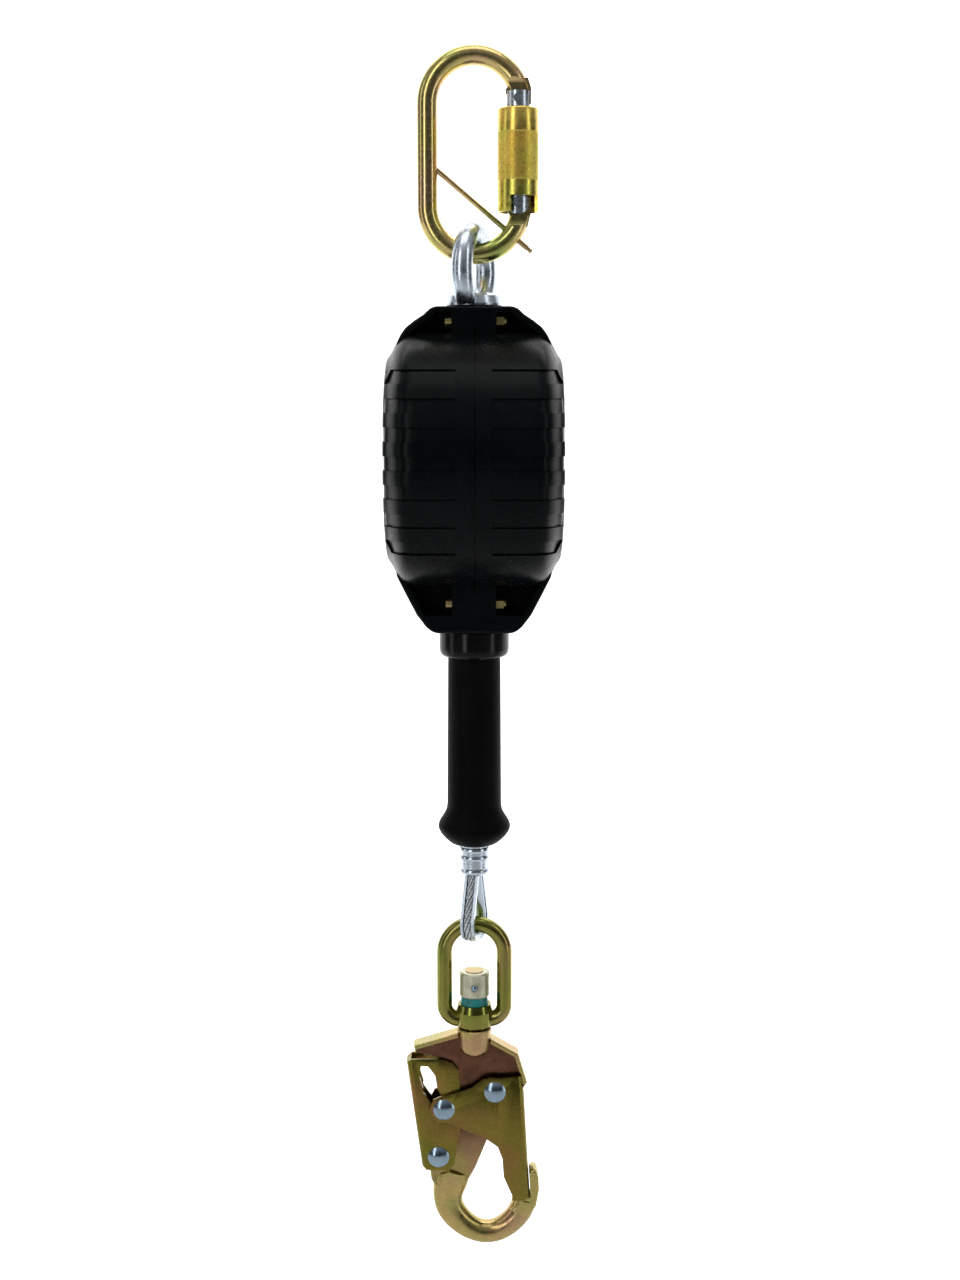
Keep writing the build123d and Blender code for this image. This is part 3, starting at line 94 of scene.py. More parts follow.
# The hook's web: the band of its forging painted dark and reddish, partly the film's own red and partly
# painted shade of the recess
WEB_FACING = (0.93, 0.99)                 # how squarely the surface faces front or back
WEB_DEPTH = (4.1 * MM, 4.4 * MM)          # distance from the middle plane
WEB_HEIGHT = (-590 * MM, -570 * MM)       # the painted red and shade thins out from the upper height to the lower
WEB_IN_BOWL = 0.30                        # share of the painted red and shade that is left below

# Stage, in metres
FLOOR_DROP = 0.35                 # floor below the object's lowest point
STAGE_HALF = 4.0
STAGE_FRONT = -3.5
STAGE_BACK = 2.2
STAGE_CURVE_R = 1.2
STAGE_CURVE_STEPS = 12
STAGE_WALL = 5.0
STAGE_TONE = (0.78, 0.78, 0.78)
STAGE_GLOW = (0.22, 0.56)         # the paper glows with painted light, as emission, rising between these distances back

# Camera
SENSOR = 36.0                     # sensor width and focal length, in millimetres
LENS = 47.7
CAMERA_PLACE = (0.0031, -0.900, -0.1641)
CAMERA_TILT = 8.38                # degrees below level
BACKGROUND = (0.95, 0.95, 0.95)


# ---- node helpers ------------------------------------------------------------------
class Nodes:
    """Short calls for building one material's node tree."""

    def __init__(self, name):
        self.material = bpy.data.materials.new(name)
        self.material.use_nodes = True
        self.tree = self.material.node_tree
        self.shader = self.tree.nodes["Principled BSDF"]
        coordinates = self.add("ShaderNodeTexCoord")
        self.place = coordinates.outputs["Object"]
        self.facing = coordinates.outputs["Normal"]

    def add(self, kind, **inputs):
        node = self.tree.nodes.new(kind)
        for key, value in inputs.items():
            node.inputs[key.replace("_", " ")].default_value = value
        return node

    def link(self, source, target):
        self.tree.links.new(source, target)

    def noise(self, scale, detail=3.0, rough=0.5, stretch=(1, 1, 1)):
        mapping = self.add("ShaderNodeMapping")
        mapping.inputs["Scale"].default_value = stretch
        self.link(self.place, mapping.inputs["Vector"])
        node = self.add("ShaderNodeTexNoise", Scale=scale, Detail=detail, Roughness=rough)
        self.link(mapping.outputs[0], node.inputs["Vector"])
        return node.outputs["Fac"]

    def ramp(self, source, stops):
        node = self.add("ShaderNodeValToRGB")
        self.link(source, node.inputs[0])
        elements = node.color_ramp.elements
        while len(elements) < len(stops):
            elements.new(0.5)
        for element, (place, colour) in zip(elements, stops):
            element.position = place
            element.color = (*colour, 1)
        return node.outputs[0]

    def span(self, source, low, high, start=0.3, end=0.7):
        node = self.add("ShaderNodeMapRange", From_Min=start, From_Max=end, To_Min=low, To_Max=high)
        self.link(source, node.inputs["Value"])
        return node.outputs[0]

    def absolute(self, source):
        node = self.add("ShaderNodeMath")
        node.operation = "ABSOLUTE"
        self.link(source, node.inputs[0])
        return node.outputs[0]

    def times(self, a, b):
        node = self.add("ShaderNodeMath")
        node.operation = "MULTIPLY"
        self.link(a, node.inputs[0])
        self.link(b, node.inputs[1])
        return node.outputs[0]

    def mix(self, fac, a, b, kind="MIX"):
        node = self.tree.nodes.new("ShaderNodeMix")
        node.data_type = "RGBA"
        node.blend_type = kind
        for socket, value in ((node.inputs[0], fac), (node.inputs[6], a), (node.inputs[7], b)):
            if isinstance(value, bpy.types.NodeSocket):
                self.link(value, socket)
            elif isinstance(value, tuple):
                socket.default_value = (*value, 1)
            else:
                socket.default_value = value
        return node.outputs[2]

    def bump(self, source, strength, distance, normal=None):
        node = self.add("ShaderNodeBump", Strength=strength, Distance=distance)
        self.link(source, node.inputs["Height"])
        if normal is not None:
            self.link(normal, node.inputs["Normal"])
        return node.outputs[0]

    def finish(self, colour, rough, normal, metallic=0.0, **constants):
        self.link(colour, self.shader.inputs["Base Color"])
        self.link(rough, self.shader.inputs["Roughness"])
        self.link(normal, self.shader.inputs["Normal"])
        self.shader.inputs["Metallic"].default_value = metallic
        for key, value in constants.items():
            self.shader.inputs[key.replace("_", " ")].default_value = value
        return self.material


# ---- materials ---------------------------------------------------------------------
def shade(colour, factor):
    """The colour made darker or lighter, held at full brightness."""
    return tuple(min(1, channel * factor) for channel in colour)


def zinc_tint(m, base, warm, green):
    """Thin iridescent film that drifts from olive-gold to pink and green."""
    drift = m.noise(30, 2.0, 0.45)
    streaks = m.noise(60, 2.0, 0.5, stretch=(1, 1, 0.35))
    patches = m.noise(130, 3.0, 0.6)
    tint = m.ramp(drift, [(0.38, green), (0.46, base), (0.53, base), (0.64, warm)])
    second = m.ramp(streaks, [(0.36, green), (0.5, base), (0.64, warm)])
    speckle = m.ramp(patches, [(0.35, shade(base, 0.78)), (0.65, shade(base, 1.12))])
    return m.mix(0.25, m.mix(0.35, tint, second), speckle)


def zinc_surface(m, colour, rough, grain):
    """Fine grain and slow waves under a plated metal colour."""
    roughness = m.span(m.noise(420, 4.0, 0.6), rough - 0.05, rough + 0.10)
    normal = m.bump(m.noise(1500, 3.0, 0.6), 0.12, grain * MM)
    normal = m.bump(m.noise(160, 2.0, 0.5), 0.10, 0.15 * MM, normal)
    return m.finish(colour, roughness, normal, 1.0)


def yellow_zinc(name, base, warm, green, rough=0.20):
    """Yellow chromate over turned or pressed steel."""
    m = Nodes(name)
    return zinc_surface(m, zinc_tint(m, base, warm, green), rough, 0.02)


def forged_zinc(name, base, warm, green, web_red_and_shade):
    """Chromated forging: the flat web between its rims is painted dark and reddish, partly the film's own
    red and partly painted shade of the recess.
    """
    m = Nodes(name)
    split = m.add("ShaderNodeSeparateXYZ")
    m.link(m.place, split.inputs[0])
    facing = m.add("ShaderNodeSeparateXYZ")
    m.link(m.facing, facing.inputs[0])
    flat = m.span(m.absolute(facing.outputs["Y"]), 0.0, 1.0, *WEB_FACING)
    thin = m.span(m.absolute(split.outputs["Y"]), 1.0, 0.0, *WEB_DEPTH)
    high = m.span(split.outputs["Z"], WEB_IN_BOWL, 1.0, *WEB_HEIGHT)
    # partly painted shade: the web's own reddish tint, darkened as the shade in the recess between the
    # rims
    mottled_red_and_shade = m.ramp(m.noise(90, 3.0, 0.6), [(0.35, shade(web_red_and_shade, 0.6)), (0.65, web_red_and_shade)])
    colour = m.mix(m.times(m.times(flat, thin), high), zinc_tint(m, base, warm, green), mottled_red_and_shade)
    return zinc_surface(m, colour, 0.24, 0.04)


def bright_zinc(name, base, rough=0.24, cloud=0.14):
    """Clear zinc or bare metal, a little cloudy."""
    m = Nodes(name)
    dark = shade(base, 1 - cloud)
    light = shade(base, 1 + cloud * 0.6)
    colour = m.ramp(m.noise(120, 3.0, 0.55), [(0.35, dark), (0.5, base), (0.66, light)])
    roughness = m.span(m.noise(380, 4.0, 0.6), rough - 0.06, rough + 0.12)
    normal = m.bump(m.noise(1400, 3.0, 0.6), 0.10, 0.02 * MM)
    normal = m.bump(m.noise(140, 2.0, 0.5), 0.12, 0.2 * MM, normal)
    return m.finish(colour, roughness, normal, 1.0)


def plastic(name, base, rough, grain=0.03, scale=1800, spec=0.5):
    """Moulded plastic or rubber with a fine grain."""
    m = Nodes(name)
    lighter = tuple(c * 1.35 + 0.001 for c in base)
    colour = m.ramp(m.noise(60, 4.0, 0.6), [(0.35, base), (0.7, lighter)])
    roughness = m.span(m.noise(260, 3.0, 0.6), rough - 0.05, rough + 0.06)
    normal = m.bump(m.noise(scale, 2.0, 0.5), 0.25, grain * MM)
    normal = m.bump(m.noise(70, 2.0, 0.5), 0.06, 0.3 * MM, normal)
    return m.finish(colour, roughness, normal, 0.0, Specular_IOR_Level=spec)


def teal_ring():
    m = Nodes("teal_ring")
    colour = m.ramp(m.noise(200, 3.0), [(0.35, (0.005, 0.15, 0.16)), (0.65, (0.012, 0.26, 0.26))])
    return m.finish(colour, m.span(m.noise(500), 0.3, 0.45), m.bump(m.noise(900), 0.2, 0.03 * MM))


def wire_steel(name="wire_steel", painted_valley_shade=False):
    """Galvanised rope wire, with painted shade darkening it in the valleys between strands when asked
    for.
    """
    m = Nodes(name)
    colour = m.ramp(m.noise(520, 3.0, 0.6), [(0.3, (0.42, 0.44, 0.46)), (0.6, (0.66, 0.69, 0.72))])
    if painted_valley_shade:
        # painted shade: the colour is multiplied darker where the point lies deep between strands
        depth = m.add("ShaderNodeAttribute")
        depth.attribute_name = "valley_shade_depth"
        stops = [(0.55, (0.03, 0.03, 0.035)), (0.74, (0.35, 0.35, 0.36)), (0.92, (1, 1, 1))]
        colour = m.mix(1.0, colour, m.ramp(depth.outputs["Fac"], stops), "MULTIPLY")
    return m.finish(colour, m.span(m.noise(700), 0.22, 0.42), m.bump(m.noise(2200), 0.2, 0.02 * MM), 1.0)


GOLD = (0.56, 0.45, 0.17)
PINK = (0.66, 0.38, 0.28)
OLIVE = (0.30, 0.40, 0.09)

ZINC = yellow_zinc("yellow_zinc", GOLD, PINK, OLIVE)
# painted shade: a darker copy of the yellow zinc for the pressed gate and lever, to offset the light the
# floor throws on the lower parts
SHADED_SHEET_ZINC = yellow_zinc("yellow_zinc_sheet_painted_shade", (0.20, 0.155, 0.030), (0.25, 0.115, 0.05),
                         (0.13, 0.145, 0.020), 0.24)
# painted shade: a darker copy of the yellow zinc for the swivel bail, to offset the light the floor
# throws on the lower parts
SHADED_BAIL_ZINC = yellow_zinc("yellow_zinc_bail_painted_shade", (0.25, 0.235, 0.055), (0.34, 0.21, 0.10),
                        (0.15, 0.20, 0.035), 0.18)
SLEEVE_GOLD = yellow_zinc("sleeve_gold", (0.76, 0.56, 0.12), (0.78, 0.48, 0.18),
                          (0.52, 0.58, 0.09), 0.26)
FORGED = forged_zinc("forged_zinc", (0.44, 0.34, 0.12), (0.50, 0.27, 0.19),
                     (0.28, 0.33, 0.09), (0.16, 0.075, 0.045))
BRIGHT = bright_zinc("bright_zinc", (0.56, 0.63, 0.70))
RIVET = bright_zinc("rivet_zinc", (0.27, 0.36, 0.44), 0.16, 0.10)
PALE = bright_zinc("pale_zinc", (0.56, 0.56, 0.42), 0.40, 0.26)
SHELL = plastic("black_shell", (0.0016, 0.0024, 0.0028), 0.28, spec=0.06)
COLLAR = plastic("gloss_collar", (0.0020, 0.0022, 0.0026), 0.15, 0.01, 900, spec=0.16)
GRIP = plastic("soft_grip", (0.0020, 0.0022, 0.0020), 0.48, 0.04, 1500, spec=0.03)
INNER = plastic("inner_plastic", (0.03, 0.03, 0.03), 0.5)
TEAL = teal_ring()
WIRE = wire_steel()
SHADED_LAID_WIRE = wire_steel("laid_wire", painted_valley_shade=True)
STEEL = bright_zinc("inner_steel", (0.52, 0.54, 0.57), 0.32, 0.10)
SPRING = bright_zinc("spring_steel", (0.30, 0.30, 0.32), 0.30, 0.10)
BRONZE = yellow_zinc("bronze", (0.50, 0.33, 0.15), (0.52, 0.30, 0.16), (0.45, 0.33, 0.14), 0.34)
SCREW = yellow_zinc("brassed_screw", (0.60, 0.48, 0.20), (0.60, 0.42, 0.22), (0.50, 0.48, 0.18), 0.28)
ALLOY = bright_zinc("drum_alloy", (0.64, 0.65, 0.66), 0.38, 0.08)
LINING = plastic("friction_lining", (0.12, 0.09, 0.06), 0.8, 0.06, 900)

# Record slot to finish, then the nodes that have a material of their own; the bail's, gate's and lever's
# are darker copies of the yellow zinc, painted shade.
FINISH = {
    "yellow_zinc": ZINC, "gold_sleeve": SLEEVE_GOLD, "bright_zinc": BRIGHT, "pale_zinc": PALE,
    "wire_rope": WIRE, "indicator": TEAL, "black_shell": SHELL, "gloss_collar": COLLAR, "soft_grip": GRIP,
    "inner_plastic": INNER, "brassed_screws": SCREW, "inner_steel": STEEL, "spring_steel": SPRING,
    "bronze": BRONZE, "drum_alloy": ALLOY, "friction_lining": LINING,
}
NODE_FINISH = {
    "hook_body": FORGED, "swivel_bail": SHADED_BAIL_ZINC, "hook_gate": SHADED_SHEET_ZINC, "lock_lever": SHADED_SHEET_ZINC,
    "hook_rivets": RIVET, "link_rivet": RIVET,
}


def finish_cad_nodes():
    """Every carried-over CAD node takes the finish of its record slot, or its own."""
    for entry in frame["record"]["subparts"]:
        node = frame["nodes"][entry["node"]]
        material = NODE_FINISH.get(entry["node"], FINISH[entry["material_slot"]])
        node.data.materials.clear()
        node.data.materials.append(material)


finish_cad_nodes()


# ---- mesh helpers ------------------------------------------------------------------
def heights(node):
    """Lowest and highest z of a CAD node."""
    low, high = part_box(node)
    return low[2], high[2]


def piece(name, verts, faces, material, body):
    """A new mesh piece with its material, riding on a body when one is given."""
    mesh = bpy.data.meshes.new(name)
    mesh.from_pydata(verts, [], faces)
    mesh.validate()
    mesh.materials.append(material)
    for polygon in mesh.polygons:
        polygon.use_smooth = True
    thing = bpy.data.objects.new(name, mesh)
    bpy.context.collection.objects.link(thing)
    if body:
        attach(thing, body)
    return thing


def circle(radius, count):
    """Evenly spaced points (a, b) of a circle."""
    angles = [2 * math.pi * k / count for k in range(count)]
    return [(radius * math.cos(angle), radius * math.sin(angle)) for angle in angles]


def loft(rings):
    """Faces between equal rings of points, with both ends closed; returns verts and faces."""
    count = len(rings[0])
    verts = [tuple(point) for ring in rings for point in ring]
    faces = []
    for row in range(len(rings) - 1):
        here = row * count
        there = here + count
        for col in range(count):
            after = (col + 1) % count
            faces.append((here + col, here + after, there + after, there + col))
    faces.append(tuple(range(count))[::-1])
    faces.append(tuple((len(rings) - 1) * count + col for col in range(count)))
    return verts, faces


def sweep_along(points, section, twist=0.0):
    """Rings of a section (list of (a, b)) carried along a smooth line, turning by twist per metre."""
    up = Vector((0, 0, 1))
    rings = []
    normal = None
    travelled = 0.0
    for index, point in enumerate(points):
        ahead = points[min(index + 1, len(points) - 1)]
        behind = points[max(index - 1, 0)]
        tangent = (ahead - behind).normalized()
        if normal is None:
            normal = (up - tangent * up.dot(tangent))
            normal = normal.normalized() if normal.length > 1e-6 else tangent.orthogonal().normalized()
        else:
            normal = (normal - tangent * normal.dot(tangent)).normalized()
            travelled += (point - points[index - 1]).length
        side = tangent.cross(normal)
        angle = twist * travelled
        c, s = math.cos(angle), math.sin(angle)
        ring = []
        for a, b in section:
            x, y = a * c - b * s, a * s + b * c
            ring.append(point + normal * x + side * y)
        rings.append(ring)
    return rings


# ---- knurled lock sleeve -----------------------------------------------------------
def diamond(u, v):
    """Height of a diamond knurl, 0 in the grooves and 0.84 on the flattened points."""
    a = abs((u + v) % 1.0 - 0.5) * 2
    b = abs((u - v) % 1.0 - 0.5) * 2
    return min(2 * (1 - a), 2 * (1 - b), 0.84)


def sleeve_profile(low_z, high_z, radius, bore, knurl, notch_top):
    """Rows (height, radius, knurled) from the top bore, down the outside and up the skirt's inside."""
    knurl_low, knurl_top = knurl
    plain_r = radius - KNURL_RISE
    skirt_in = plain_r - SKIRT_WALL
    skirt_ledge = low_z + 4.0 * MM
    bore_low = low_z + 12.2 * MM
    rows = int((knurl_top - knurl_low) / KNURL_PITCH * KNURL_ROWS)

    outside = [(high_z, bore), (high_z, plain_r - 1.0 * MM), (high_z - 0.35 * MM, plain_r - 0.4 * MM),
               (high_z - 1.0 * MM, plain_r), (knurl_top + 0.15 * MM, plain_r)]
    skirt = [(knurl_low - 0.15 * MM, plain_r), (notch_top + 0.3 * MM, plain_r), (notch_top, plain_r),
             (skirt_ledge, plain_r), (low_z + 0.9 * MM, plain_r),
             (low_z + 0.2 * MM, plain_r - 0.3 * MM), (low_z, plain_r - 0.7 * MM)]
    inside = [(low_z, skirt_in), (skirt_ledge, skirt_in), (notch_top, skirt_in), (bore_low, skirt_in),
              (bore_low, bore)]
    band = [(knurl_top - (knurl_top - knurl_low) * row / rows, radius, True) for row in range(rows + 1)]
    return ([(z, r, False) for z, r in outside] + band
            + [(z, r, False) for z, r in skirt + inside])


def make_sleeve():
    """Turned sleeve with a true diamond knurl and the notch in its skirt."""
    low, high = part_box("lock_sleeve")
    axis_x = (low[0] + high[0]) / 2
    radius = (high[0] - low[0]) / 2
    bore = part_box("carabiner_gate")[1][1] + 0.1 * MM
    notch_top = low[2] + 8.0 * MM
    knurl_top = high[2] - 11.9 * MM
    knurl_low = knurl_top - 24.3 * MM
    columns = KNURLS_AROUND * KNURL_COLUMNS
    profile = sleeve_profile(low[2], high[2], radius, bore, (knurl_low, knurl_top), notch_top)

    def notched(column, upper, lower):
        angle = 2 * math.pi * (column + 0.5) / columns - math.pi
        return NOTCH_FROM < angle < NOTCH_TO and max(upper, lower) <= notch_top + 0.01 * MM

    def knurl_cut(column, z):
        """Depth below the knurl's points, run out to the plain radius at both ends of the band."""
        inside = max(0.0, min(1.0, (knurl_top - z) / KNURL_FADE, (z - knurl_low) / KNURL_FADE))
        height = diamond(column / KNURL_COLUMNS, (knurl_top - z) / KNURL_PITCH)
        return (1 - height) * KNURL_DEPTH * inside + (1 - inside) * KNURL_RISE

    verts = []
    for z, r, knurled in profile:
        for column in range(columns):
            angle = 2 * math.pi * column / columns - math.pi
            here = r - knurl_cut(column, z) if knurled else r
            verts.append((axis_x + here * math.cos(angle), here * math.sin(angle), z))
    faces = []
    for row in range(len(profile) - 1):
        for column in range(columns):
            if notched(column, profile[row][0], profile[row + 1][0]):
                continue
            after = (column + 1) % columns
            faces.append((row * columns + column, row * columns + after,
                          (row + 1) * columns + after, (row + 1) * columns + column))
    faces += notch_walls(profile, columns, notched)
    sleeve = piece("knurled_sleeve", verts, faces, SLEEVE_GOLD, "lock_sleeve")
    tidy_mesh(sleeve, 35)
    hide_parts("lock_sleeve")


def notch_walls(profile, columns, notched):
    """Cut faces of the notch: its ceiling and its two upright sides."""
    walls = []
    inside = columns * 3 // 10        # a column well inside the notch
    spans = range(len(profile) - 1)
    cut_rows = [row for row in spans if notched(inside, profile[row][0], profile[row + 1][0])]
    cut_z = profile[cut_rows[0]][0]
    cut = [column for column in range(columns) if notched(column, cut_z, cut_z)]
    top_out = min(cut_rows)
    top_in = max(cut_rows) + 1
    for column in cut:
        after = (column + 1) % columns
        walls.append((top_out * columns + column, top_out * columns + after,
                      top_in * columns + after, top_in * columns + column))
    for edge in (cut[0], (cut[-1] + 1) % columns):
        for step in range((top_in - top_out) // 2):
            rows = (top_out + step, top_out + step + 1, top_in - step - 1, top_in - step)
            walls.append(tuple(dict.fromkeys(row * columns + edge for row in rows)))
    return [wall for wall in walls if len(wall) > 2]


def tidy_mesh(thing, sharp_degrees):
    """Consistent normals, smooth faces and split shading at hard edges."""
    mesh = bmesh.new()
    mesh.from_mesh(thing.data)
    bmesh.ops.remove_doubles(mesh, verts=mesh.verts, dist=1e-7)
    bmesh.ops.recalc_face_normals(mesh, faces=mesh.faces)
    limit = math.radians(sharp_degrees)
    for edge in mesh.edges:
        edge.smooth = not (edge.is_manifold and edge.calc_face_angle(0) > limit)
    mesh.to_mesh(thing.data)
    mesh.free()


# ---- wire rope ---------------------------------------------------------------------
def strand_section(radius):
    """A strand's outline: the outer wires show as lobes."""
    points = []
    for step in range(STRAND_WIRES * 4):
        angle = 2 * math.pi * step / (STRAND_WIRES * 4)
        r = radius * (0.92 + 0.08 * abs(math.cos(STRAND_WIRES * angle / 2)))
        points.append((r * math.cos(angle), r * math.sin(angle)))
    return points


def rope_mesh(route):
    """Verts and faces of a laid rope that follows a route of points: strands round a core."""
    strand_r = ROPE_R / 3
    rails = sweep_along(route, circle(ROPE_R - strand_r, STRANDS), twist=2 * math.pi / LAY)
    section = strand_section(strand_r * 0.98)
    wire_twist = -2 * math.pi / (LAY * 0.55)
    tubes = [sweep_along([ring[k] for ring in rails], section, twist=wire_twist) for k in range(STRANDS)]
    tubes.append(sweep_along(route, circle(strand_r, 8)))
    verts, faces = [], []
    for tube in tubes:
        more, quads = loft(tube)
        base = len(verts)
        verts += more
        faces += [tuple(base + index for index in quad) for quad in quads]
    return verts, faces


def loop_place(s, z):
    """A point of the loop's plane, s aside from the middle and z high."""
    return Vector((s * math.cos(LOOP_TURN), s * math.sin(LOOP_TURN), z))


def rope_route():
    """Down through the grip, aside into the ferrule, round the thimble and back up."""
    ferrule_low, ferrule_high = heights("swage_ferrule")
    tail_low, tail_high = heights("cable_tail")
    centre_z = tail_low + ROPE_R + LOOP_R
    side = ROPE_R + 0.02 * MM
    rise = ferrule_low - centre_z
    tangent = math.atan2(rise, side) - math.acos(LOOP_R / math.hypot(side, rise))
    touch = (LOOP_R * math.cos(tangent), centre_z + LOOP_R * math.sin(tangent))
    bend_top = (0, ferrule_high + 8 * MM)
    bend_low = (-side, ferrule_high - 4 * MM)
    route = []

    def run(start, end, step):
        count = max(2, int(math.hypot(end[0] - start[0], end[1] - start[1]) / step))
        for index in range(count):
            t = index / count
            s, z = start[0] + (end[0] - start[0]) * t, start[1] + (end[1] - start[1]) * t
            route.append(loop_place(s, z))

    run((0, tail_high), bend_top, 3 * MM)
    run(bend_top, bend_low, 1.5 * MM)
    run(bend_low, (-side, ferrule_low), 1.5 * MM)
    run((-side, ferrule_low), (-touch[0], touch[1]), 0.8 * MM)
    arc = math.pi + 2 * tangent
    arc_steps = 44
    for index in range(arc_steps):
        angle = math.pi - tangent + arc * index / arc_steps
        route.append(loop_place(LOOP_R * math.cos(angle), centre_z + LOOP_R * math.sin(angle)))
    run(touch, (side, ferrule_low), 0.8 * MM)
    run((side, ferrule_low), (side, ferrule_high - 3 * MM), 1.5 * MM)
    return route


def make_rope():
    """The laid rope of the line end, with each point's depth from the centre line stored for the painted
    shade in its valleys.
    """
    route = rope_route()
    verts, faces = rope_mesh(route)
    rope = piece("laid_wire_rope", verts, faces, SHADED_LAID_WIRE, "line_end")
    tree = KDTree(len(route))
    for index, point in enumerate(route):
        tree.insert(point, index)
    tree.balance()
    depth = rope.data.attributes.new("valley_shade_depth", "FLOAT", "POINT")
    for vert, value in zip(rope.data.vertices, depth.data):
        nearest = tree.find(vert.co)[1]
        ahead = route[min(nearest + 1, len(route) - 1)] - route[max(nearest - 1, 0)]
        offset = vert.co - route[nearest]
        value.value = (offset - offset.project(ahead)).length / ROPE_R
    tidy_mesh(rope, 60)
    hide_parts("cable_tail")


def make_line_run():
    """The line that appears between nozzle and grip as it is drawn out."""
    top = heights("cable_tail")[1]
    start, end = top + 0.4 * MM, top - 1.6 * MM
    tuck = 2 * MM
    levels = (start + tuck, start, (start + end) / 2, end, end - tuck)
    outline = circle(ROPE_R * 0.97, 48)
    verts, faces = loft([[(x, y, z) for x, y in outline] for z in levels])
    run = piece("line_run", verts, faces, WIRE, None)
    tidy_mesh(run, 60)
    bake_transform(run)


# ---- pressed and turned pieces with eased edges ------------------------------------
def eased(node, body):
    """The CAD node's own shape with its sharp edges broken, as tumbling leaves them."""
    mesh = bmesh.new()
    mesh.from_mesh(frame["nodes"][node].data)
    bmesh.ops.remove_doubles(mesh, verts=mesh.verts, dist=2e-6)
    bmesh.ops.dissolve_limit(mesh, angle_limit=math.radians(1.0), verts=mesh.verts, edges=mesh.edges)
    sharp = [e for e in mesh.edges if e.is_manifold and e.calc_face_angle(0) > math.radians(50)]
    bmesh.ops.bevel(mesh, geom=sharp, offset=EDGE_BREAK, offset_type="OFFSET", segments=2, profile=0.5,
                    affect="EDGES", clamp_overlap=True)
    bmesh.ops.triangulate(mesh, faces=[f for f in mesh.faces if len(f.verts) > 4])
    verts = [tuple(v.co) for v in mesh.verts]
    mesh.verts.index_update()
    faces = [tuple(v.index for v in f.verts) for f in mesh.faces]
    mesh.free()
    copy = piece(node + "_eased", verts, faces, SHADED_SHEET_ZINC, body)
    tidy_mesh(copy, 32)
    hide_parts(node)


def make_pin_ends():
    """Cross pin of the swivel nut with its two domed ends."""
    low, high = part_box("nut_pin")
    radius = (high[2] - low[2]) / 2
    centre_z = (high[2] + low[2]) / 2
    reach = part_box("swivel_nut")[1][1] + 0.5 * MM
    dome = 1.2 * MM
    angles = [math.radians(degrees) for degrees in (8, 22, 36, 50, 64, 78, 90)]
    profile = [(-reach + dome * (1 - math.cos(angle)), radius * math.sin(angle)) for angle in angles]
    profile += [(-y, r) for y, r in profile[::-1]]
    verts, faces = loft([[(x, y, centre_z + z) for x, z in circle(r, 28)] for y, r in profile])
    pin = piece("domed_nut_pin", verts, faces, RIVET, "hook")
    tidy_mesh(pin, 60)
    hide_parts("nut_pin")


make_sleeve()
make_rope()
make_line_run()
eased("hook_gate", "hook_gate")
eased("lock_lever", "hook_lever")
make_pin_ends()


# ---- stage, light and camera -------------------------------------------------------
def stage_material():
    """Pale paper sweep that glows with painted light, as emission, towards the back where it rises."""
    m = Nodes("stage_pale")
    colour = m.ramp(m.noise(3, 2.0), [(0.3, shade(STAGE_TONE, 0.985)), (0.7, STAGE_TONE)])
    split = m.add("ShaderNodeSeparateXYZ")
    m.link(m.place, split.inputs[0])
    # painted light: emission makes the paper glow, from nothing up to full between the STAGE_GLOW
    # distances
    m.link(m.span(split.outputs["Y"], 0.0, 1.0, *STAGE_GLOW), m.shader.inputs["Emission Strength"])
    m.shader.inputs["Emission Color"].default_value = (1, 1, 1, 1)
    return m.finish(colour, m.span(m.noise(20), 0.8, 0.9), m.bump(m.noise(50), 0.02, 0.0005))


def make_stage():
    """Plain pale floor running up into a backdrop behind the hanging object."""
    floor_z = cad_low[2] - FLOOR_DROP
    curve_y = STAGE_BACK - STAGE_CURVE_R
    profile = [(STAGE_FRONT, floor_z), (curve_y, floor_z)]
    for step in range(1, STAGE_CURVE_STEPS + 1):
        angle = math.radians(90 * step / STAGE_CURVE_STEPS)
        profile.append((curve_y + STAGE_CURVE_R * math.sin(angle),
                        floor_z + STAGE_CURVE_R * (1 - math.cos(angle))))
    profile.append((STAGE_BACK, floor_z + STAGE_WALL))
    verts = [(x, y, z) for y, z in profile for x in (-STAGE_HALF, STAGE_HALF)]
    faces = [(2 * i, 2 * i + 1, 2 * i + 3, 2 * i + 2) for i in range(len(profile) - 1)]
    mesh = bpy.data.meshes.new("stage_floor")
    mesh.from_pydata(verts, [], faces)
    for polygon in mesh.polygons:
        polygon.use_smooth = True
    mesh.materials.append(stage_material())
    floor = bpy.data.objects.new("stage_floor", mesh)
    bpy.context.collection.objects.link(floor)


def area_light(name, place, aim, size, power):
    """A white softbox of size metres and power watts that faces aim."""
    data = bpy.data.lights.new(name, "AREA")
    data.shape = "RECTANGLE"
    data.size, data.size_y = size
    data.energy = power
    lamp = bpy.data.objects.new(name, data)
    lamp.location = place
    lamp.rotation_mode = "QUATERNION"
    lamp.rotation_quaternion = (Vector(aim) - Vector(place)).to_track_quat("-Z", "Y")
    bpy.context.collection.objects.link(lamp)


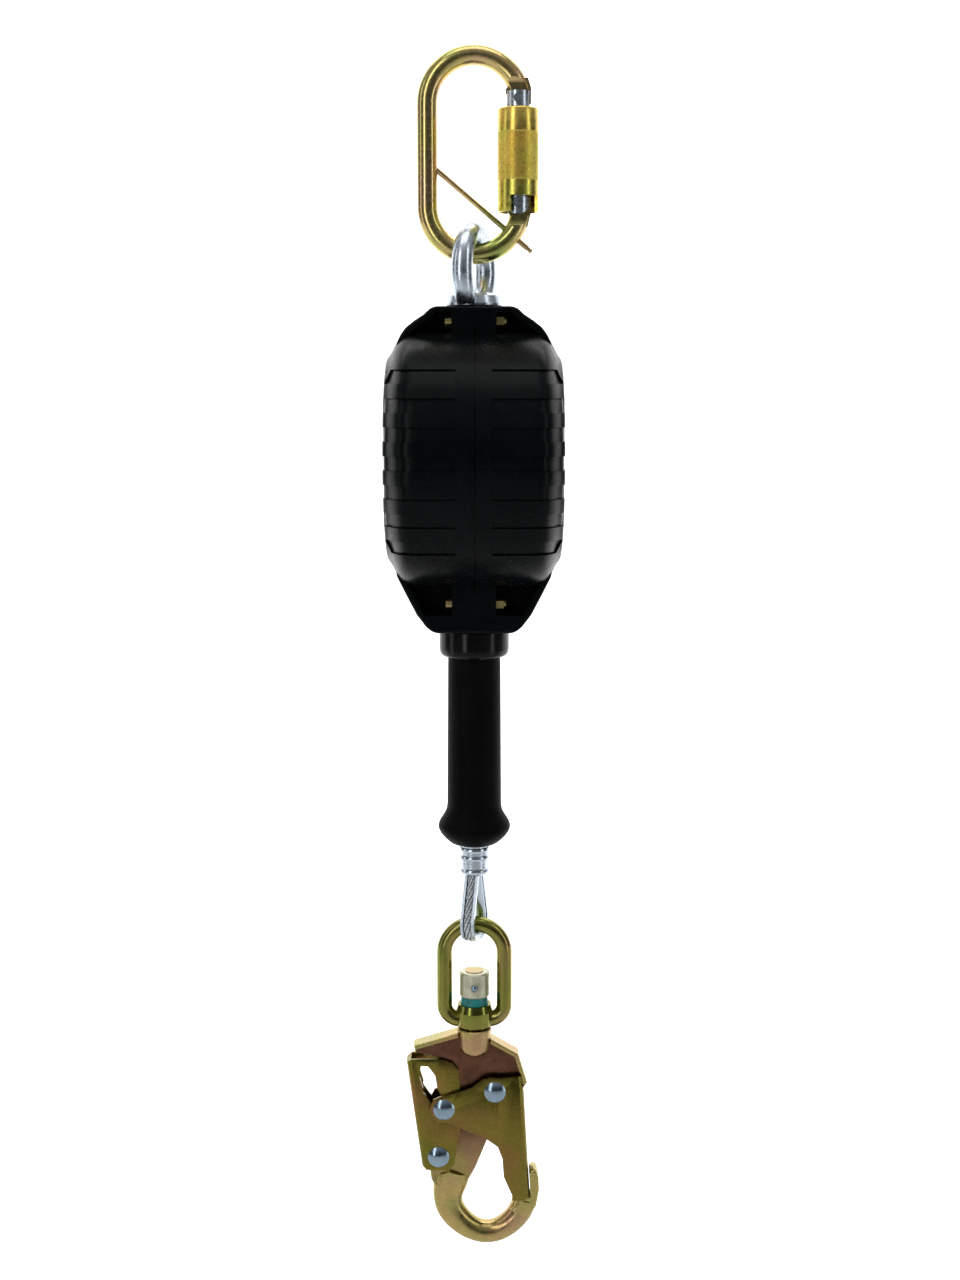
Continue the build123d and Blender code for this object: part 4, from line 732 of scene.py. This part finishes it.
def studio_world():
    """Dim studio in reflections: light above, dark at eye height, a low bounce; pale to the camera."""
    world = bpy.data.worlds.new("studio")
    world.use_nodes = True
    tree = world.node_tree
    place = tree.nodes.new("ShaderNodeTexCoord")
    split = tree.nodes.new("ShaderNodeSeparateXYZ")
    height = tree.nodes.new("ShaderNodeMapRange")
    height.inputs["From Min"].default_value = -1
    ramp = tree.nodes.new("ShaderNodeValToRGB")
    tones = [(0.0, 0.20), (0.30, 0.20), (0.46, 0.06), (0.60, 0.08), (0.80, 0.30), (1.0, 0.45)]
    elements = ramp.color_ramp.elements
    while len(elements) < len(tones):
        elements.new(0.5)
    for element, (position, tone) in zip(elements, tones):
        element.position = position
        element.color = (tone, tone * 1.01, tone * 1.03, 1)
    seen = tree.nodes.new("ShaderNodeMix")
    seen.data_type = "RGBA"
    seen.inputs[7].default_value = (*BACKGROUND, 1)
    tree.links.new(tree.nodes.new("ShaderNodeLightPath").outputs["Is Camera Ray"], seen.inputs[0])
    tree.links.new(place.outputs["Generated"], split.inputs[0])
    tree.links.new(split.outputs["Z"], height.inputs["Value"])
    tree.links.new(height.outputs[0], ramp.inputs[0])
    tree.links.new(ramp.outputs[0], seen.inputs[6])
    tree.links.new(seen.outputs[2], tree.nodes["Background"].inputs["Color"])
    tree.nodes["Background"].inputs["Strength"].default_value = 1.0
    bpy.context.scene.world = world


def make_light():
    """Softboxes at both sides and above, and a wash on the backdrop."""
    middle = (0, 0, (cad_low[2] + cad_high[2]) / 2)
    area_light("key_left", place=(-0.75, -1.25, 0.15), aim=middle, size=(0.30, 1.9), power=6.2)
    area_light("edge_left", place=(-1.35, -0.25, -0.1), aim=middle, size=(0.30, 1.8), power=2.4)
    area_light("fill_right", place=(1.25, -0.65, 0.0), aim=middle, size=(0.24, 1.8), power=3.4)
    area_light("top_soft", place=(0.0, -0.25, 1.2), aim=middle, size=(1.2, 0.7), power=5.0)
    area_light("backdrop_wash", place=(0.0, 1.2, 1.9), aim=(0, 2.2, -0.6), size=(3.2, 0.6), power=30)
    studio_world()
    bpy.context.scene.view_settings.view_transform = "Standard"


def make_camera():
    """The viewpoint chosen to match the photo, tilted gently down."""
    data = bpy.data.cameras.new("camera")
    data.sensor_width = SENSOR
    data.lens = LENS
    camera = bpy.data.objects.new("camera", data)
    camera.location = CAMERA_PLACE
    camera.rotation_euler = (math.radians(90 - CAMERA_TILT), 0, 0)
    bpy.context.collection.objects.link(camera)
    bpy.context.scene.camera = camera


make_stage()
make_light()
make_camera()
